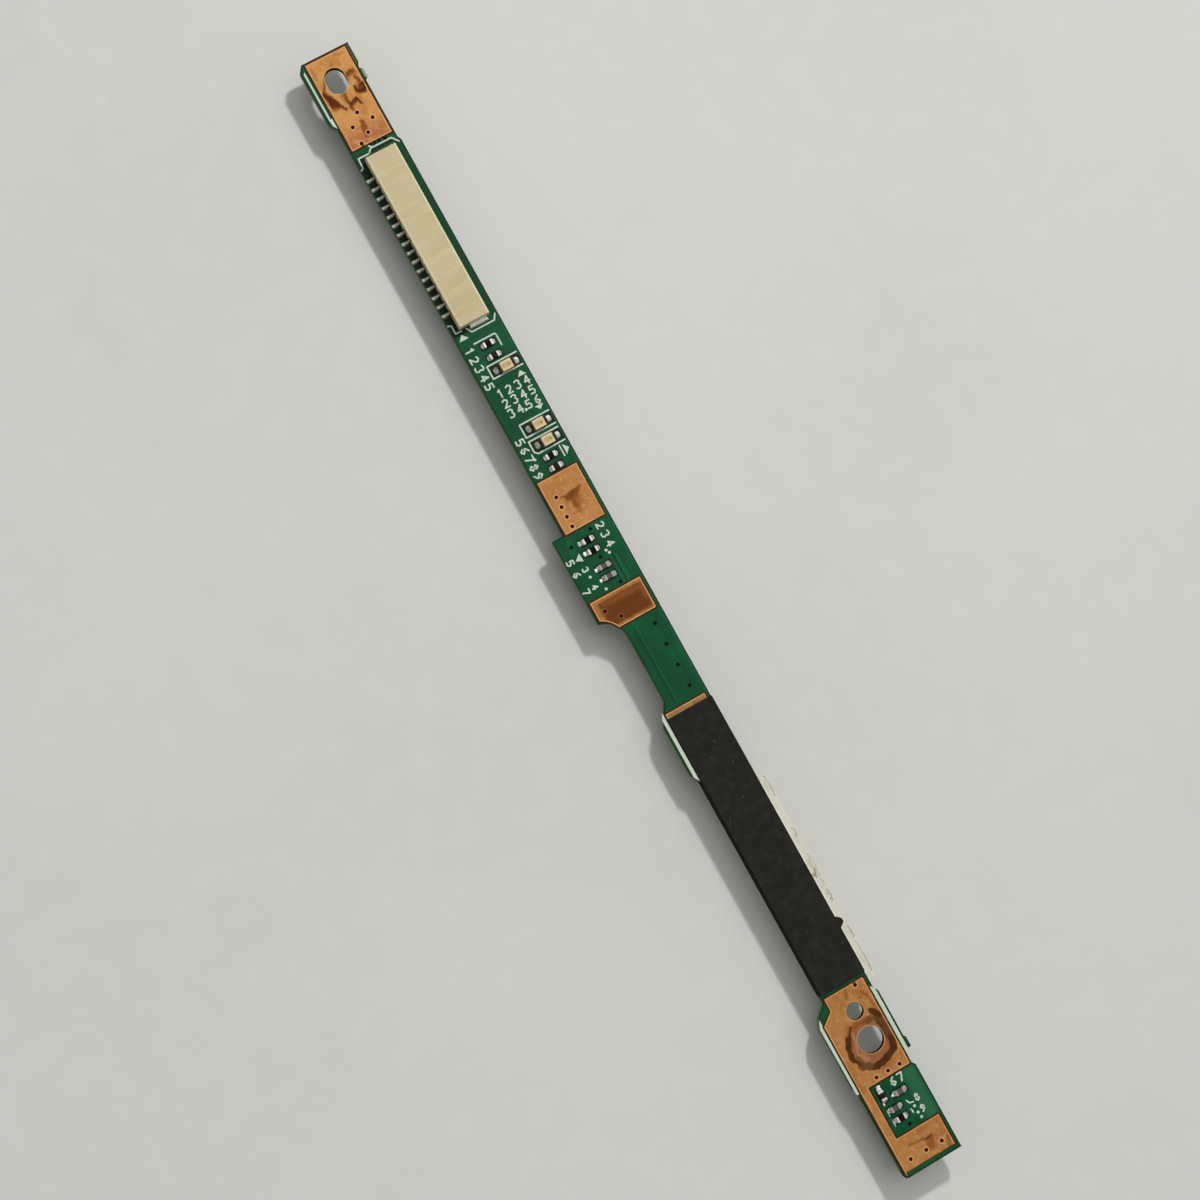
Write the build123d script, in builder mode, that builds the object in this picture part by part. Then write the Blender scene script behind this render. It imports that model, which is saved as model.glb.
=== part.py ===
"""Laptop webcam board: a long narrow circuit board with its parts on both faces.

Millimetres. +X runs along the board from the connector end to the screw end, +Y points to the
edge that the connector opens to, and +Z is the face that carries the connector. The board stands
on its lens barrel and its two microphone boots, with the origin under the middle of its box.
"""
from build123d import *
import os

os.makedirs("parts", exist_ok=True)

# Board: places are measured from the connector end and from a line along the board, and
# what belongs to the screw end is measured back from that end
board_length = 122.8
board_thickness = 0.8
board_width = 5.1
mating_edge = 2.4
stand_height = 3.0
corner_radius = 0.5

# Tail edge of the board, in order along it: where each stretch starts and how far it steps out
first_bulge_start = 0.7
first_bulge_end = 6.5
bulge_depth = 0.5
bulge_ramp = 0.8
camera_wide_start = 52.3
camera_wide_length = 9.2
camera_wide_depth = 1.2
camera_cut_length = 2.4
neck_length = 7.1
neck_inset = 0.8
neck_ramp = 2.3
second_bulge_length = 5.3
screw_bulge_length = 6.5
screw_bulge_end_gap = 10.2
screw_bulge_depth = 1.55
screw_ramp = 1.0
shoulder_ramp = 1.0
screw_shoulder_depth = 1.1
end_block_depth = 1.3

# Mating edge of the board: the stepped stretches at its two ends
connector_step_end = 10.4
connector_step_inset = 0.2
connector_step_start = 2.2
mating_ramp = 0.4
mating_bulge_height = 0.3
mating_bulge_ramp = 0.8
mating_notch_depth = 0.3

# Break-off stubs left on the mating edge: place along the board, width, slope and height
stub_width = 1.2
stub_slope = 60
end_stub_x = 3.4
end_stub_height = 0.3
tape_stub_gap = 5.4
tape_stub_height = 0.45
screw_stub_gap = 1.2
screw_stub_height = 0.16

# Holes
slot_x = 2.92
slot_y = -0.42
slot_length = 2.7
slot_width = 2.1
locating_pitch = 3.15
locating_diameter = 1.8
screw_end_gap = 13.4
screw_diameter = 2.7
fixing_y = -0.3

# Plated vias: a ring beside the slot, rows and columns along the lands, and single ones
via_diameter = 0.42
via_sides = 12
via_ring_gap = 4.75
via_ring_y = -0.13
via_ring_radius = 1.1
via_row_pitch = 1.07
via_row_y = -1.42
via_row_inset = 2.05
neck_via_pitch = 2.3
neck_via_y = 1.06
window_via_inset = 0.45
window_via_pitch = 1.31
end_via_inset = 1.47
end_via_pitch = 1.77
single_via_inset = 0.3
single_via_y = 0.95
window_single_via_inset = 0.6
camera_via_inset = 0.85
camera_via_y = -1.5
camera_via_step = 1.15

# Bare copper lands
land_thickness = 0.05
land_mating_margin = 0.45
land_tail_margin = 0.3
land_end_margin = 0.25
end_land_length = 9.5
centre_land_gap = 0.05
centre_land_length = 5.7
camera_land_length = 3.35
camera_land_reach = 1.15
camera_land_cut_slope = 0.45
taped_land_gap = 1.25
taped_land_length = 7.1
screw_land_gap = 19.0
end_window_gap = 3.85
end_window_length = 5.65
end_strip_width = 0.85

# Connector: side entry, one row of formed contacts
contact_count = 16
contact_pitch = 1.0
contact_width = 0.24
contact_thickness = 0.2
contact_bend = 0.2
contact_fit = 0.02
blade_height = 0.66
blade_reach = 1.7
bend_inset = 0.25
foot_start = 0.2
tail_reach = 0.78
connector_x = 20.56
connector_rear = -1.8
connector_depth = 3.28
connector_height = 1.4
connector_end_margin = 1.9
housing_radius = 0.1
cavity_height = 0.84
cavity_floor = 0.24
cavity_end_wall = 1.0
rear_wall = 0.95
rear_slot_depth = 0.4
rear_slot_height = 1.12
rear_slot_width = 0.42
mouth_chamfer = 0.12
key_rib_width = 0.5
key_rib_height = 0.2
key_rib_inset = 2.2
tab_length = 1.9
tab_thickness = 0.2
tab_height = 1.05
tab_foot = 0.52
tab_front_margin = 0.25

# Indicator lamps: one past the connector, two before the centre land
led_from_connector = 5.14
led_pair_before_land = (5.07, 3.27)
led_y = 0.58
led_length = 1.75
led_width = 1.0
led_base_height = 0.25
led_lens_length = 1.2
led_lens_height = 0.4
led_lens_draft = 4
led_terminal_notch = 0.14

# Chip resistors and capacitors
chip_length = 1.0
chip_width = 0.5
chip_height = 0.35
chip_cap = 0.22
chip_cap_proud = 0.02
chips_from_connector = {
    "resistor_lamp_a": (2.46, 0.05),
    "capacitor_lamp_a": (3.76, 0.04),
}
chips_from_centre_land = {
    "resistor_lamp_b": (-1.79, 0.1),
    "capacitor_lamp_b": (-0.59, 0.05),
}
chips_from_camera_step = {
    "resistor_camera_a": (1.48, -0.82),
    "resistor_camera_b": (2.6, -0.82),
    "capacitor_camera_a": (4.44, -0.62),
    "capacitor_camera_b": (5.54, -0.62),
}
chips_from_window_start = {
    "capacitor_end_a": (1.82, -0.3),
    "capacitor_end_b": (3.0, -1.46),
    "resistor_end": (4.1, -1.42),
}
end_bead_gap = 1.3
end_bead_y = -2.0

# Tape on the top face, adhesive strip on the underside
tape_land_showing = 0.5
tape_end_gap = 0.4
tape_thickness = 0.12
tape_overhang = 0.07
tape_tail_gap = 0.2
tape_corner = 0.15
tape_point_slope = 52
strip_length = 22.4
strip_end_gap = 18.3
strip_thickness = 0.15
strip_overhang = 1.05
strip_tail_gap = 0.4
strip_corner = 0.3

# Camera module under the wide stretch of the board
holder_length = 6.3
holder_tail_gap = 0.35
holder_mating_gap = 0.35
holder_base_height = 1.45
holder_corner = 0.5
tower_diameter = 5.4
tower_height = 0.85
sensor_size = 4.4
sensor_height = 0.65
sensor_clearance = 0.15
filter_size = 3.6
filter_thickness = 0.3
filter_clearance = 0.05
shoulder_thickness = 0.35
light_path_diameter = 2.6
barrel_diameter = 4.2
barrel_clearance = 0.02
barrel_bore = 3.0
barrel_front_wall = 0.4
barrel_aperture = 1.3
barrel_mouth = 2.6
grip_notch_count = 4
grip_notch_width = 0.5
grip_notch_depth = 0.3
lens_edge = 0.3
lens_dome = 0.28

# Chips under the board, in a row from the camera towards the connector, with the gaps between
processor_gap = 4.75
processor_size = 4.0
processor_height = 0.8
memory_gap = 2.1
memory_length = 2.6
memory_width = 3.0
memory_height = 0.6
crystal_gap = 1.9
crystal_length = 3.2
crystal_width = 2.5
crystal_base = 0.3
crystal_lid = 0.4
crystal_lip = 0.2
regulator_gap = 2.35
regulator_length = 2.9
regulator_width = 1.6
regulator_height = 1.0
regulator_stand_off = 0.05
regulator_chamfer = 0.15
lead_pitch = 0.95
lead_width = 0.35
lead_thickness = 0.15
lead_reach = 0.6
lead_height = 0.55
lead_bend = 0.1
bypass_spacing = 2.4

# Microphones and their rubber boots
left_microphone_x = 14.5
right_microphone_end_gap = 4.6
microphone_length = 3.35
microphone_width = 2.5
microphone_base = 0.25
microphone_can = 0.7
microphone_can_inset = 0.1
microphone_radius = 0.2
microphone_port = 0.5
boot_length = 5.2
boot_width = 3.8
boot_corner = 0.6
boot_clearance = 0.1
boot_lip_height = 0.4
boot_lip_diameter = 3.4
boot_lip_width = 0.45
boot_port = 1.2

# Places along the board that follow from the sizes above
first_bulge_ramp_end = first_bulge_end + bulge_ramp
camera_wide_end = camera_wide_start + camera_wide_length
lens_x = camera_wide_start + camera_wide_length / 2
neck_start = camera_wide_end + camera_cut_length
neck_end = neck_start + neck_length
second_bulge_start = neck_end + neck_ramp
second_bulge_end = second_bulge_start + second_bulge_length
screw_bulge_end = board_length - screw_bulge_end_gap
screw_bulge_start = screw_bulge_end - screw_bulge_length
screw_x = board_length - screw_end_gap
locating_x = screw_x - locating_pitch
end_window_end = board_length - end_window_gap
end_window_start = end_window_end - end_window_length
connector_end_x = connector_x + (contact_count - 1) * contact_pitch / 2 + connector_end_margin
end_land_end = land_end_margin + end_land_length
centre_land_end = camera_wide_start + centre_land_gap
centre_land_start = centre_land_end - centre_land_length
camera_land_end = camera_wide_end + camera_land_reach
camera_land_start = camera_land_end - camera_land_length
taped_land_start = neck_end + taped_land_gap
screw_land_start = board_length - screw_land_gap
tape_start = taped_land_start + tape_land_showing
tape_end = screw_land_start - tape_end_gap
tape_stub_x = tape_end - tape_stub_gap
screw_stub_x = screw_bulge_end - screw_stub_gap
strip_end = board_length - strip_end_gap
strip_start = strip_end - strip_length
processor_x = lens_x - holder_length / 2 - processor_gap - processor_size / 2
memory_x = processor_x - processor_size / 2 - memory_gap - memory_length / 2
bypass_x = (processor_x - processor_size / 2 + memory_x + memory_length / 2) / 2
crystal_x = memory_x - memory_length / 2 - crystal_gap - crystal_length / 2
regulator_x = crystal_x - crystal_length / 2 - regulator_gap - regulator_length / 2

# Levels and edges that follow from the sizes above
tail_edge = mating_edge - board_width
bulge_edge = tail_edge - bulge_depth
camera_edge = tail_edge - camera_wide_depth
neck_edge = tail_edge + neck_inset
screw_bulge_edge = tail_edge - screw_bulge_depth
end_block_edge = tail_edge - end_block_depth
connector_step_edge = mating_edge - connector_step_inset
mating_bulge_edge = mating_edge + mating_bulge_height
mating_notch_edge = mating_edge - mating_notch_depth
strip_edge = mating_edge + strip_overhang
end_window_floor = end_block_edge + land_tail_margin + end_strip_width
land_mating_edge = mating_edge - land_mating_margin
land_tail_edge = tail_edge + land_tail_margin
end_land_tail_edge = end_block_edge + land_tail_margin
camera_y = (mating_edge + camera_edge) / 2
middle_y = (mating_edge + tail_edge) / 2
end_block_y = (mating_edge + end_block_edge) / 2
board_top = stand_height + board_thickness

datum_x = -board_length / 2
datum_y = -(strip_edge + screw_bulge_edge) / 2
floor_plane = Plane((datum_x, datum_y, 0))
under_plane = floor_plane.offset(stand_height)
top_plane = floor_plane.offset(board_top)


def write_part(part, name):
    """Label a finished piece and write its file."""
    part.label = name
    export_step(part, f"parts/{name}.step")


def mark_vias():
    """Draw the plated holes, as small twelve-sided drillings: a ring, four rows and five singles."""
    via_rows = (
        (centre_land_end - via_row_inset, via_row_y, via_row_pitch, 4, 1),
        ((neck_start + neck_end) / 2, neck_via_y, neck_via_pitch, 4, 1),
        (end_window_start - window_via_inset, fixing_y, window_via_pitch, 1, 3),
        (board_length - end_via_inset, end_block_y, end_via_pitch, 1, 3),
    )
    single_vias = (
        (end_land_end - single_via_inset, via_ring_y - via_ring_radius),
        (camera_land_end - camera_via_inset, camera_via_y),
        (camera_land_end - camera_via_inset - camera_via_step, camera_via_y - camera_via_step),
        (screw_land_start + single_via_inset, single_via_y),
        (end_window_end - window_single_via_inset, -single_via_y),
    )
    with Locations((slot_x + via_ring_gap, via_ring_y)):
        with PolarLocations(via_ring_radius, 4):
            RegularPolygon(via_diameter / 2, via_sides)
    for row_x, row_y, pitch, along, across in via_rows:
        with Locations((row_x, row_y)):
            with GridLocations(pitch, pitch, along, across):
                RegularPolygon(via_diameter / 2, via_sides)
    with Locations(*single_vias):
        RegularPolygon(via_diameter / 2, via_sides)


# Every hole through the board, drawn once and cut from the board and from the copper on it
with BuildSketch() as drilled_holes:
    mark_vias()
    with Locations((slot_x, slot_y)):
        SlotOverall(slot_length, slot_width)
    with Locations((locating_x, fixing_y)):
        Circle(locating_diameter / 2)
    with Locations((screw_x, fixing_y)):
        Circle(screw_diameter / 2)

# Break-off stubs: place, edge that each stands on, and height
stubs = (
    (end_stub_x, connector_step_edge, end_stub_height),
    (tape_stub_x, mating_edge, tape_stub_height),
    (screw_stub_x, mating_bulge_edge, screw_stub_height),
)

# Board, from the connector end along the tail edge and back along the mating edge
with BuildPart() as board:
    with BuildSketch(under_plane):
        with BuildLine():
            camera_cut = TangentArc(
                (neck_start, neck_edge),
                (camera_wide_end, camera_edge),
                tangent=(-1, 0),
            )
            Polyline(
                camera_cut @ 1,
                (camera_wide_start, camera_edge),
                (camera_wide_start, tail_edge),
                (first_bulge_ramp_end, tail_edge),
                (first_bulge_end, bulge_edge),
                (first_bulge_start, bulge_edge),
                (0, tail_edge),
                (0, mating_edge),
                (connector_step_start, mating_edge),
                (connector_step_start + mating_ramp, connector_step_edge),
                (connector_step_end, connector_step_edge),
                (connector_step_end + mating_ramp, mating_edge),
                (screw_bulge_start - screw_ramp, mating_edge),
                (screw_bulge_start - mating_ramp, mating_bulge_edge),
                (screw_bulge_end - mating_bulge_ramp, mating_bulge_edge),
                (screw_bulge_end, mating_notch_edge),
                (end_window_start, mating_notch_edge),
                (end_window_start + mating_ramp, mating_edge),
                (board_length, mating_edge),
                (board_length, end_block_edge),
                (screw_bulge_end + bulge_ramp, end_block_edge),
                (screw_bulge_end, screw_bulge_edge),
                (screw_bulge_start, screw_bulge_edge),
                (screw_bulge_start - screw_ramp, tail_edge - screw_shoulder_depth),
                (screw_bulge_start - screw_ramp - shoulder_ramp, tail_edge),
                (second_bulge_end + bulge_ramp, tail_edge),
                (second_bulge_end, bulge_edge),
                (second_bulge_start, bulge_edge),
                (neck_end, neck_edge),
                camera_cut @ 0,
            )
        outline = make_face()
        fillet(outline.vertices().sort_by(Axis.X)[-2:].sort_by(Axis.Y)[0], corner_radius)
        for stub_x, stub_edge, stub_height in stubs:
            with Locations((stub_x, stub_edge)):
                Trapezoid(stub_width, stub_height, stub_slope, align=(Align.CENTER, Align.MIN))
        add(drilled_holes.sketch_local, mode=Mode.SUBTRACT)
    extrude(amount=board_thickness)
write_part(board.part, "board")

# Rectangular copper lands: start and end along the board
plain_lands = {
    "connector_end_land": (land_end_margin, end_land_end),
    "centre_land": (centre_land_start, centre_land_end),
    "taped_land": (taped_land_start, taped_land_start + taped_land_length),
}
for land_name, (land_start, land_stop) in plain_lands.items():
    with BuildPart() as land:
        with BuildSketch(top_plane):
            with Locations(((land_start + land_stop) / 2, (land_mating_edge + land_tail_edge) / 2)):
                Rectangle(land_stop - land_start, land_mating_edge - land_tail_edge)
            add(drilled_holes.sketch_local, mode=Mode.SUBTRACT)
        extrude(amount=land_thickness)
    write_part(land.part, land_name)

# Copper land over the camera, cut back along the board's concave corner
with BuildPart() as camera_land:
    with BuildSketch(top_plane):
        with BuildLine():
            land_cut = TangentArc(
                (camera_land_end, neck_edge - land_tail_margin),
                (camera_wide_end - land_end_margin, camera_edge + land_tail_margin),
                tangent=(-1, -camera_land_cut_slope),
            )
            Polyline(
                land_cut @ 1,
                (camera_land_start, camera_edge + land_tail_margin),
                (camera_land_start, land_mating_edge),
                (camera_land_end, land_mating_edge),
                land_cut @ 0,
            )
        make_face()
        add(drilled_holes.sketch_local, mode=Mode.SUBTRACT)
    extrude(amount=land_thickness)
write_part(camera_land.part, "camera_land")

# Copper land round the screw hole, with a strip along the tail edge to the end of the board
with BuildPart() as screw_end_land:
    with BuildSketch(top_plane):
        with BuildLine():
            Polyline(
                (screw_land_start, land_mating_edge),
                (screw_land_start, land_tail_edge),
                (screw_bulge_start - screw_ramp, land_tail_edge),
                (screw_bulge_start, end_land_tail_edge),
                (board_length - land_end_margin, end_land_tail_edge),
                (board_length - land_end_margin, land_mating_edge),
                (end_window_end, land_mating_edge),
                (end_window_end, end_window_floor),
                (end_window_start, end_window_floor),
                (end_window_start, land_mating_edge),
                close=True,
            )
        make_face()
        add(drilled_holes.sketch_local, mode=Mode.SUBTRACT)
    extrude(amount=land_thickness)
write_part(screw_end_land.part, "screw_end_land")

# Connector: its plane starts at the middle of the housing's rear foot
housing_length = (contact_count - 1) * contact_pitch + 2 * connector_end_margin
connector_plane = Plane((datum_x + connector_x, datum_y + connector_rear, board_top))
mouth_plane = Plane(
    connector_plane.origin + Vector(0, connector_depth, 0), x_dir=(-1, 0, 0), z_dir=(0, 1, 0)
)
cavity_length = housing_length - 2 * cavity_end_wall
cavity_depth = connector_depth - rear_wall
tab_y = connector_depth - tab_front_margin - tab_length / 2

with BuildPart() as housing:
    with BuildSketch(connector_plane):
        Rectangle(housing_length, connector_depth, align=(Align.CENTER, Align.MIN))
    extrude(amount=connector_height)
    fillet(housing.edges().group_by(Axis.Z)[-1], housing_radius)
    # Cavity with two key ribs on its floor
    with BuildSketch(mouth_plane.offset(-cavity_depth)):
        with Locations((0, cavity_floor + cavity_height / 2)):
            Rectangle(cavity_length, cavity_height)
        for side in (-1, 1):
            with Locations((side * (cavity_length / 2 - key_rib_inset), cavity_floor)):
                Rectangle(
                    key_rib_width, key_rib_height, align=(Align.CENTER, Align.MIN), mode=Mode.SUBTRACT
                )
    extrude(amount=cavity_depth, mode=Mode.SUBTRACT)
    with BuildSketch(mouth_plane):
        with Locations((0, cavity_floor + cavity_height / 2)):
            Rectangle(cavity_length + 2 * mouth_chamfer, cavity_height + 2 * mouth_chamfer)
    extrude(amount=-mouth_chamfer, taper=45, mode=Mode.SUBTRACT)
    # Rear slots that the tails come down in, and a passage for each blade
    with BuildSketch(connector_plane):
        with GridLocations(contact_pitch, 1, contact_count, 1):
            Rectangle(rear_slot_width, rear_slot_depth, align=(Align.CENTER, Align.MIN))
    extrude(amount=rear_slot_height, mode=Mode.SUBTRACT)
    with BuildSketch(mouth_plane.offset(-connector_depth)):
        with Locations((0, blade_height)):
            with GridLocations(contact_pitch, 1, contact_count, 1):
                Rectangle(contact_width + 2 * contact_fit, contact_thickness + 2 * contact_fit)
    extrude(amount=rear_wall + contact_fit, mode=Mode.SUBTRACT)
    # Slots in the end walls for the solder tabs
    with BuildSketch(connector_plane):
        for side in (-1, 1):
            with Locations((side * (housing_length - tab_thickness) / 2, tab_y)):
                Rectangle(tab_thickness + 2 * contact_fit, tab_length + 2 * contact_fit)
    extrude(amount=tab_height + contact_fit, mode=Mode.SUBTRACT)
write_part(housing.part, "connector_housing")

# Contacts: a blade in the cavity, bent down through the rear slot to a foot on the board
for number in range(contact_count):
    contact_x = (number - (contact_count - 1) / 2) * contact_pitch
    contact_side = Plane(
        connector_plane.origin + Vector(contact_x, 0, 0), x_dir=(0, 1, 0), z_dir=(1, 0, 0)
    )
    with BuildPart() as contact:
        with BuildLine(contact_side) as centre_line:
            FilletPolyline(
                (rear_wall + blade_reach, blade_height),
                (bend_inset, blade_height),
                (-foot_start, contact_thickness / 2),
                (-tail_reach, contact_thickness / 2),
                radius=contact_bend,
            )
        blade_tip = centre_line.line @ 0
        with BuildSketch(Plane(blade_tip, x_dir=(1, 0, 0), z_dir=centre_line.line % 0)):
            Rectangle(contact_width, contact_thickness)
        sweep()
    write_part(contact.part, f"contact_{number + 1:02d}")

# Solder tabs: a leg in the housing's end slot and a foot on the board
for side, side_name in ((-1, "left"), (1, "right")):
    tab_side = Plane(
        connector_plane.origin + Vector(0, tab_y + side * tab_length / 2, 0),
        x_dir=(side, 0, 0),
        z_dir=(0, -side, 0),
    )
    leg_x = (housing_length - tab_thickness) / 2
    with BuildPart() as tab:
        with BuildSketch(tab_side):
            with Locations((leg_x, 0)):
                Rectangle(tab_thickness, tab_height, align=(Align.CENTER, Align.MIN))
            with Locations((leg_x - tab_thickness / 2, 0)):
                Rectangle(tab_foot, tab_thickness, align=(Align.MIN, Align.MIN))
        extrude(amount=tab_length)
    write_part(tab.part, f"connector_tab_{side_name}")

# Indicator lamps: a small carrier with a notch in each end, and a moulded lens on it
led_places = (
    connector_end_x + led_from_connector,
    centre_land_start - led_pair_before_land[0],
    centre_land_start - led_pair_before_land[1],
)
for number, led_x in enumerate(led_places, 1):
    led_plane = Plane((datum_x + led_x, datum_y + led_y, board_top))
    with BuildPart() as led_base:
        with BuildSketch(led_plane):
            Rectangle(led_width, led_length)
            with Locations((0, led_length / 2), (0, -led_length / 2)):
                Circle(led_terminal_notch, mode=Mode.SUBTRACT)
        extrude(amount=led_base_height)
    write_part(led_base.part, f"led_base_{number}")
    with BuildPart() as led_lens:
        with BuildSketch(led_plane.offset(led_base_height)):
            Rectangle(led_width, led_lens_length)
        extrude(amount=led_lens_height, taper=led_lens_draft)
    write_part(led_lens.part, f"led_lens_{number}")


def make_chip(plane, name):
    """A chip resistor or capacitor: a block with a slightly larger metal cap at each end."""
    with BuildPart() as chip:
        with BuildSketch(plane):
            Rectangle(chip_length, chip_width)
        extrude(amount=chip_height)
        with BuildSketch(plane):
            for side in (-1, 1):
                with Locations((side * (chip_length - chip_cap) / 2, 0)):
                    Rectangle(chip_cap, chip_width + 2 * chip_cap_proud)
        extrude(amount=chip_height + chip_cap_proud)
    write_part(chip.part, name)


chip_groups = (
    (connector_end_x, chips_from_connector),
    (centre_land_start, chips_from_centre_land),
    (camera_wide_start, chips_from_camera_step),
    (end_window_start, chips_from_window_start),
)
for group_x, chips in chip_groups:
    for chip_name, (chip_x, chip_y) in chips.items():
        chip_origin = (datum_x + group_x + chip_x, datum_y + chip_y, board_top)
        make_chip(Plane(chip_origin, x_dir=(0, 1, 0)), chip_name)
bead_origin = (datum_x + end_window_start + end_bead_gap, datum_y + end_bead_y, board_top)
make_chip(Plane(bead_origin), "bead_end")

# Tape over the taped land, with the break-off stub showing as a point in its edge
with BuildPart() as tape:
    with BuildSketch(top_plane):
        with Locations((tape_start, mating_edge + tape_overhang)):
            Rectangle(
                tape_end - tape_start,
                board_width + tape_overhang - tape_tail_gap,
                align=(Align.MIN, Align.MAX),
            )
        fillet(vertices(), tape_corner)
        with Locations((tape_stub_x, mating_edge + tape_overhang)):
            Trapezoid(
                stub_width,
                tape_stub_height + tape_overhang,
                tape_point_slope,
                align=(Align.CENTER, Align.MIN),
            )
    extrude(amount=tape_thickness + land_thickness)
    with BuildSketch(top_plane):
        with Locations((taped_land_start, land_mating_edge)):
            Rectangle(
                taped_land_length, land_mating_edge - land_tail_edge, align=(Align.MIN, Align.MAX)
            )
    extrude(amount=land_thickness, mode=Mode.SUBTRACT)
write_part(tape.part, "insulating_tape")

# Adhesive strip on the underside, standing out past the mating edge
with BuildPart() as strip:
    with BuildSketch(under_plane):
        with Locations((strip_start, strip_edge)):
            Rectangle(
                strip_end - strip_start,
                strip_edge - tail_edge - strip_tail_gap,
                align=(Align.MIN, Align.MAX),
            )
        fillet(vertices(), strip_corner)
    extrude(amount=-strip_thickness)
write_part(strip.part, "adhesive_strip")

# Camera module: a sensor on the board, a holder round it, and a barrel screwed into the holder
camera_plane = Plane((datum_x + lens_x, datum_y + camera_y, stand_height))
holder_width = mating_edge - camera_edge - holder_tail_gap - holder_mating_gap
sensor_pocket_depth = sensor_height + sensor_clearance
filter_seat_depth = sensor_pocket_depth + filter_thickness + filter_clearance
barrel_seat_depth = filter_seat_depth + shoulder_thickness
barrel_length = stand_height - barrel_seat_depth

with BuildPart() as sensor:
    with BuildSketch(camera_plane):
        Rectangle(sensor_size, sensor_size)
    extrude(amount=-sensor_height)
write_part(sensor.part, "image_sensor")

with BuildPart() as holder:
    with BuildSketch(camera_plane):
        RectangleRounded(holder_length, holder_width, holder_corner)
    extrude(amount=-holder_base_height)
    with BuildSketch(camera_plane.offset(-holder_base_height)):
        Circle(tower_diameter / 2)
    extrude(amount=-tower_height)
    with BuildSketch(camera_plane):
        Rectangle(sensor_size + 2 * sensor_clearance, sensor_size + 2 * sensor_clearance)
    extrude(amount=-sensor_pocket_depth, mode=Mode.SUBTRACT)
    with BuildSketch(camera_plane):
        Rectangle(filter_size + 2 * filter_clearance, filter_size + 2 * filter_clearance)
    extrude(amount=-filter_seat_depth, mode=Mode.SUBTRACT)
    with BuildSketch(camera_plane):
        Circle(light_path_diameter / 2)
    extrude(amount=-barrel_seat_depth, mode=Mode.SUBTRACT)
    with BuildSketch(camera_plane.offset(-barrel_seat_depth)):
        Circle(barrel_diameter / 2 + barrel_clearance)
    extrude(amount=-barrel_length, mode=Mode.SUBTRACT)
write_part(holder.part, "lens_holder")

with BuildPart() as infrared_filter:
    with BuildSketch(camera_plane.offset(-filter_seat_depth)):
        Rectangle(filter_size, filter_size)
    extrude(amount=filter_thickness)
write_part(infrared_filter.part, "infrared_filter")

lens_section = Plane((datum_x + lens_x, datum_y + camera_y, 0), x_dir=(1, 0, 0), z_dir=(0, -1, 0))
lens_axis = Axis((datum_x + lens_x, datum_y + camera_y, 0), (0, 0, 1))

with BuildPart() as barrel:
    with BuildSketch(lens_section):
        with BuildLine():
            Polyline(
                (barrel_mouth / 2, 0),
                (barrel_diameter / 2, 0),
                (barrel_diameter / 2, barrel_length),
                (barrel_bore / 2, barrel_length),
                (barrel_bore / 2, barrel_front_wall),
                (barrel_aperture / 2, barrel_front_wall),
                close=True,
            )
        make_face()
    revolve(axis=lens_axis)
    with BuildSketch(Plane((datum_x + lens_x, datum_y + camera_y, 0))):
        with PolarLocations(barrel_diameter / 2, grip_notch_count, start_angle=45):
            Rectangle(2 * grip_notch_depth, grip_notch_width)
    extrude(amount=grip_notch_depth, mode=Mode.SUBTRACT)
write_part(barrel.part, "lens_barrel")

with BuildPart() as front_lens:
    with BuildSketch(lens_section):
        with BuildLine():
            dome = TangentArc(
                (0, barrel_front_wall - lens_dome),
                (barrel_aperture / 2, barrel_front_wall),
                tangent=(1, 0),
            )
            Polyline(
                dome @ 1,
                (barrel_bore / 2, barrel_front_wall),
                (barrel_bore / 2, barrel_front_wall + lens_edge),
                (0, barrel_front_wall + lens_edge),
                dome @ 0,
            )
        make_face()
    revolve(axis=lens_axis)
write_part(front_lens.part, "front_lens")


def under_chip_plane(x, y):
    """Plane on the underside of the board at one place along and across it."""
    return Plane((datum_x + x, datum_y + y, stand_height))


# Image processor, flash memory and crystal
with BuildPart() as processor:
    with BuildSketch(under_chip_plane(processor_x, middle_y)):
        Rectangle(processor_size, processor_size)
    extrude(amount=-processor_height)
write_part(processor.part, "image_processor")

with BuildPart() as memory:
    with BuildSketch(under_chip_plane(memory_x, middle_y)):
        Rectangle(memory_length, memory_width)
    extrude(amount=-memory_height)
write_part(memory.part, "flash_memory")

with BuildPart() as crystal:
    with BuildSketch(under_chip_plane(crystal_x, middle_y)):
        Rectangle(crystal_length, crystal_width)
    extrude(amount=-crystal_base)
    with BuildSketch(under_chip_plane(crystal_x, middle_y).offset(-crystal_base)):
        RectangleRounded(
            crystal_length - 2 * crystal_lip, crystal_width - 2 * crystal_lip, crystal_lip
        )
    extrude(amount=-crystal_lid)
write_part(crystal.part, "crystal")

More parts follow.
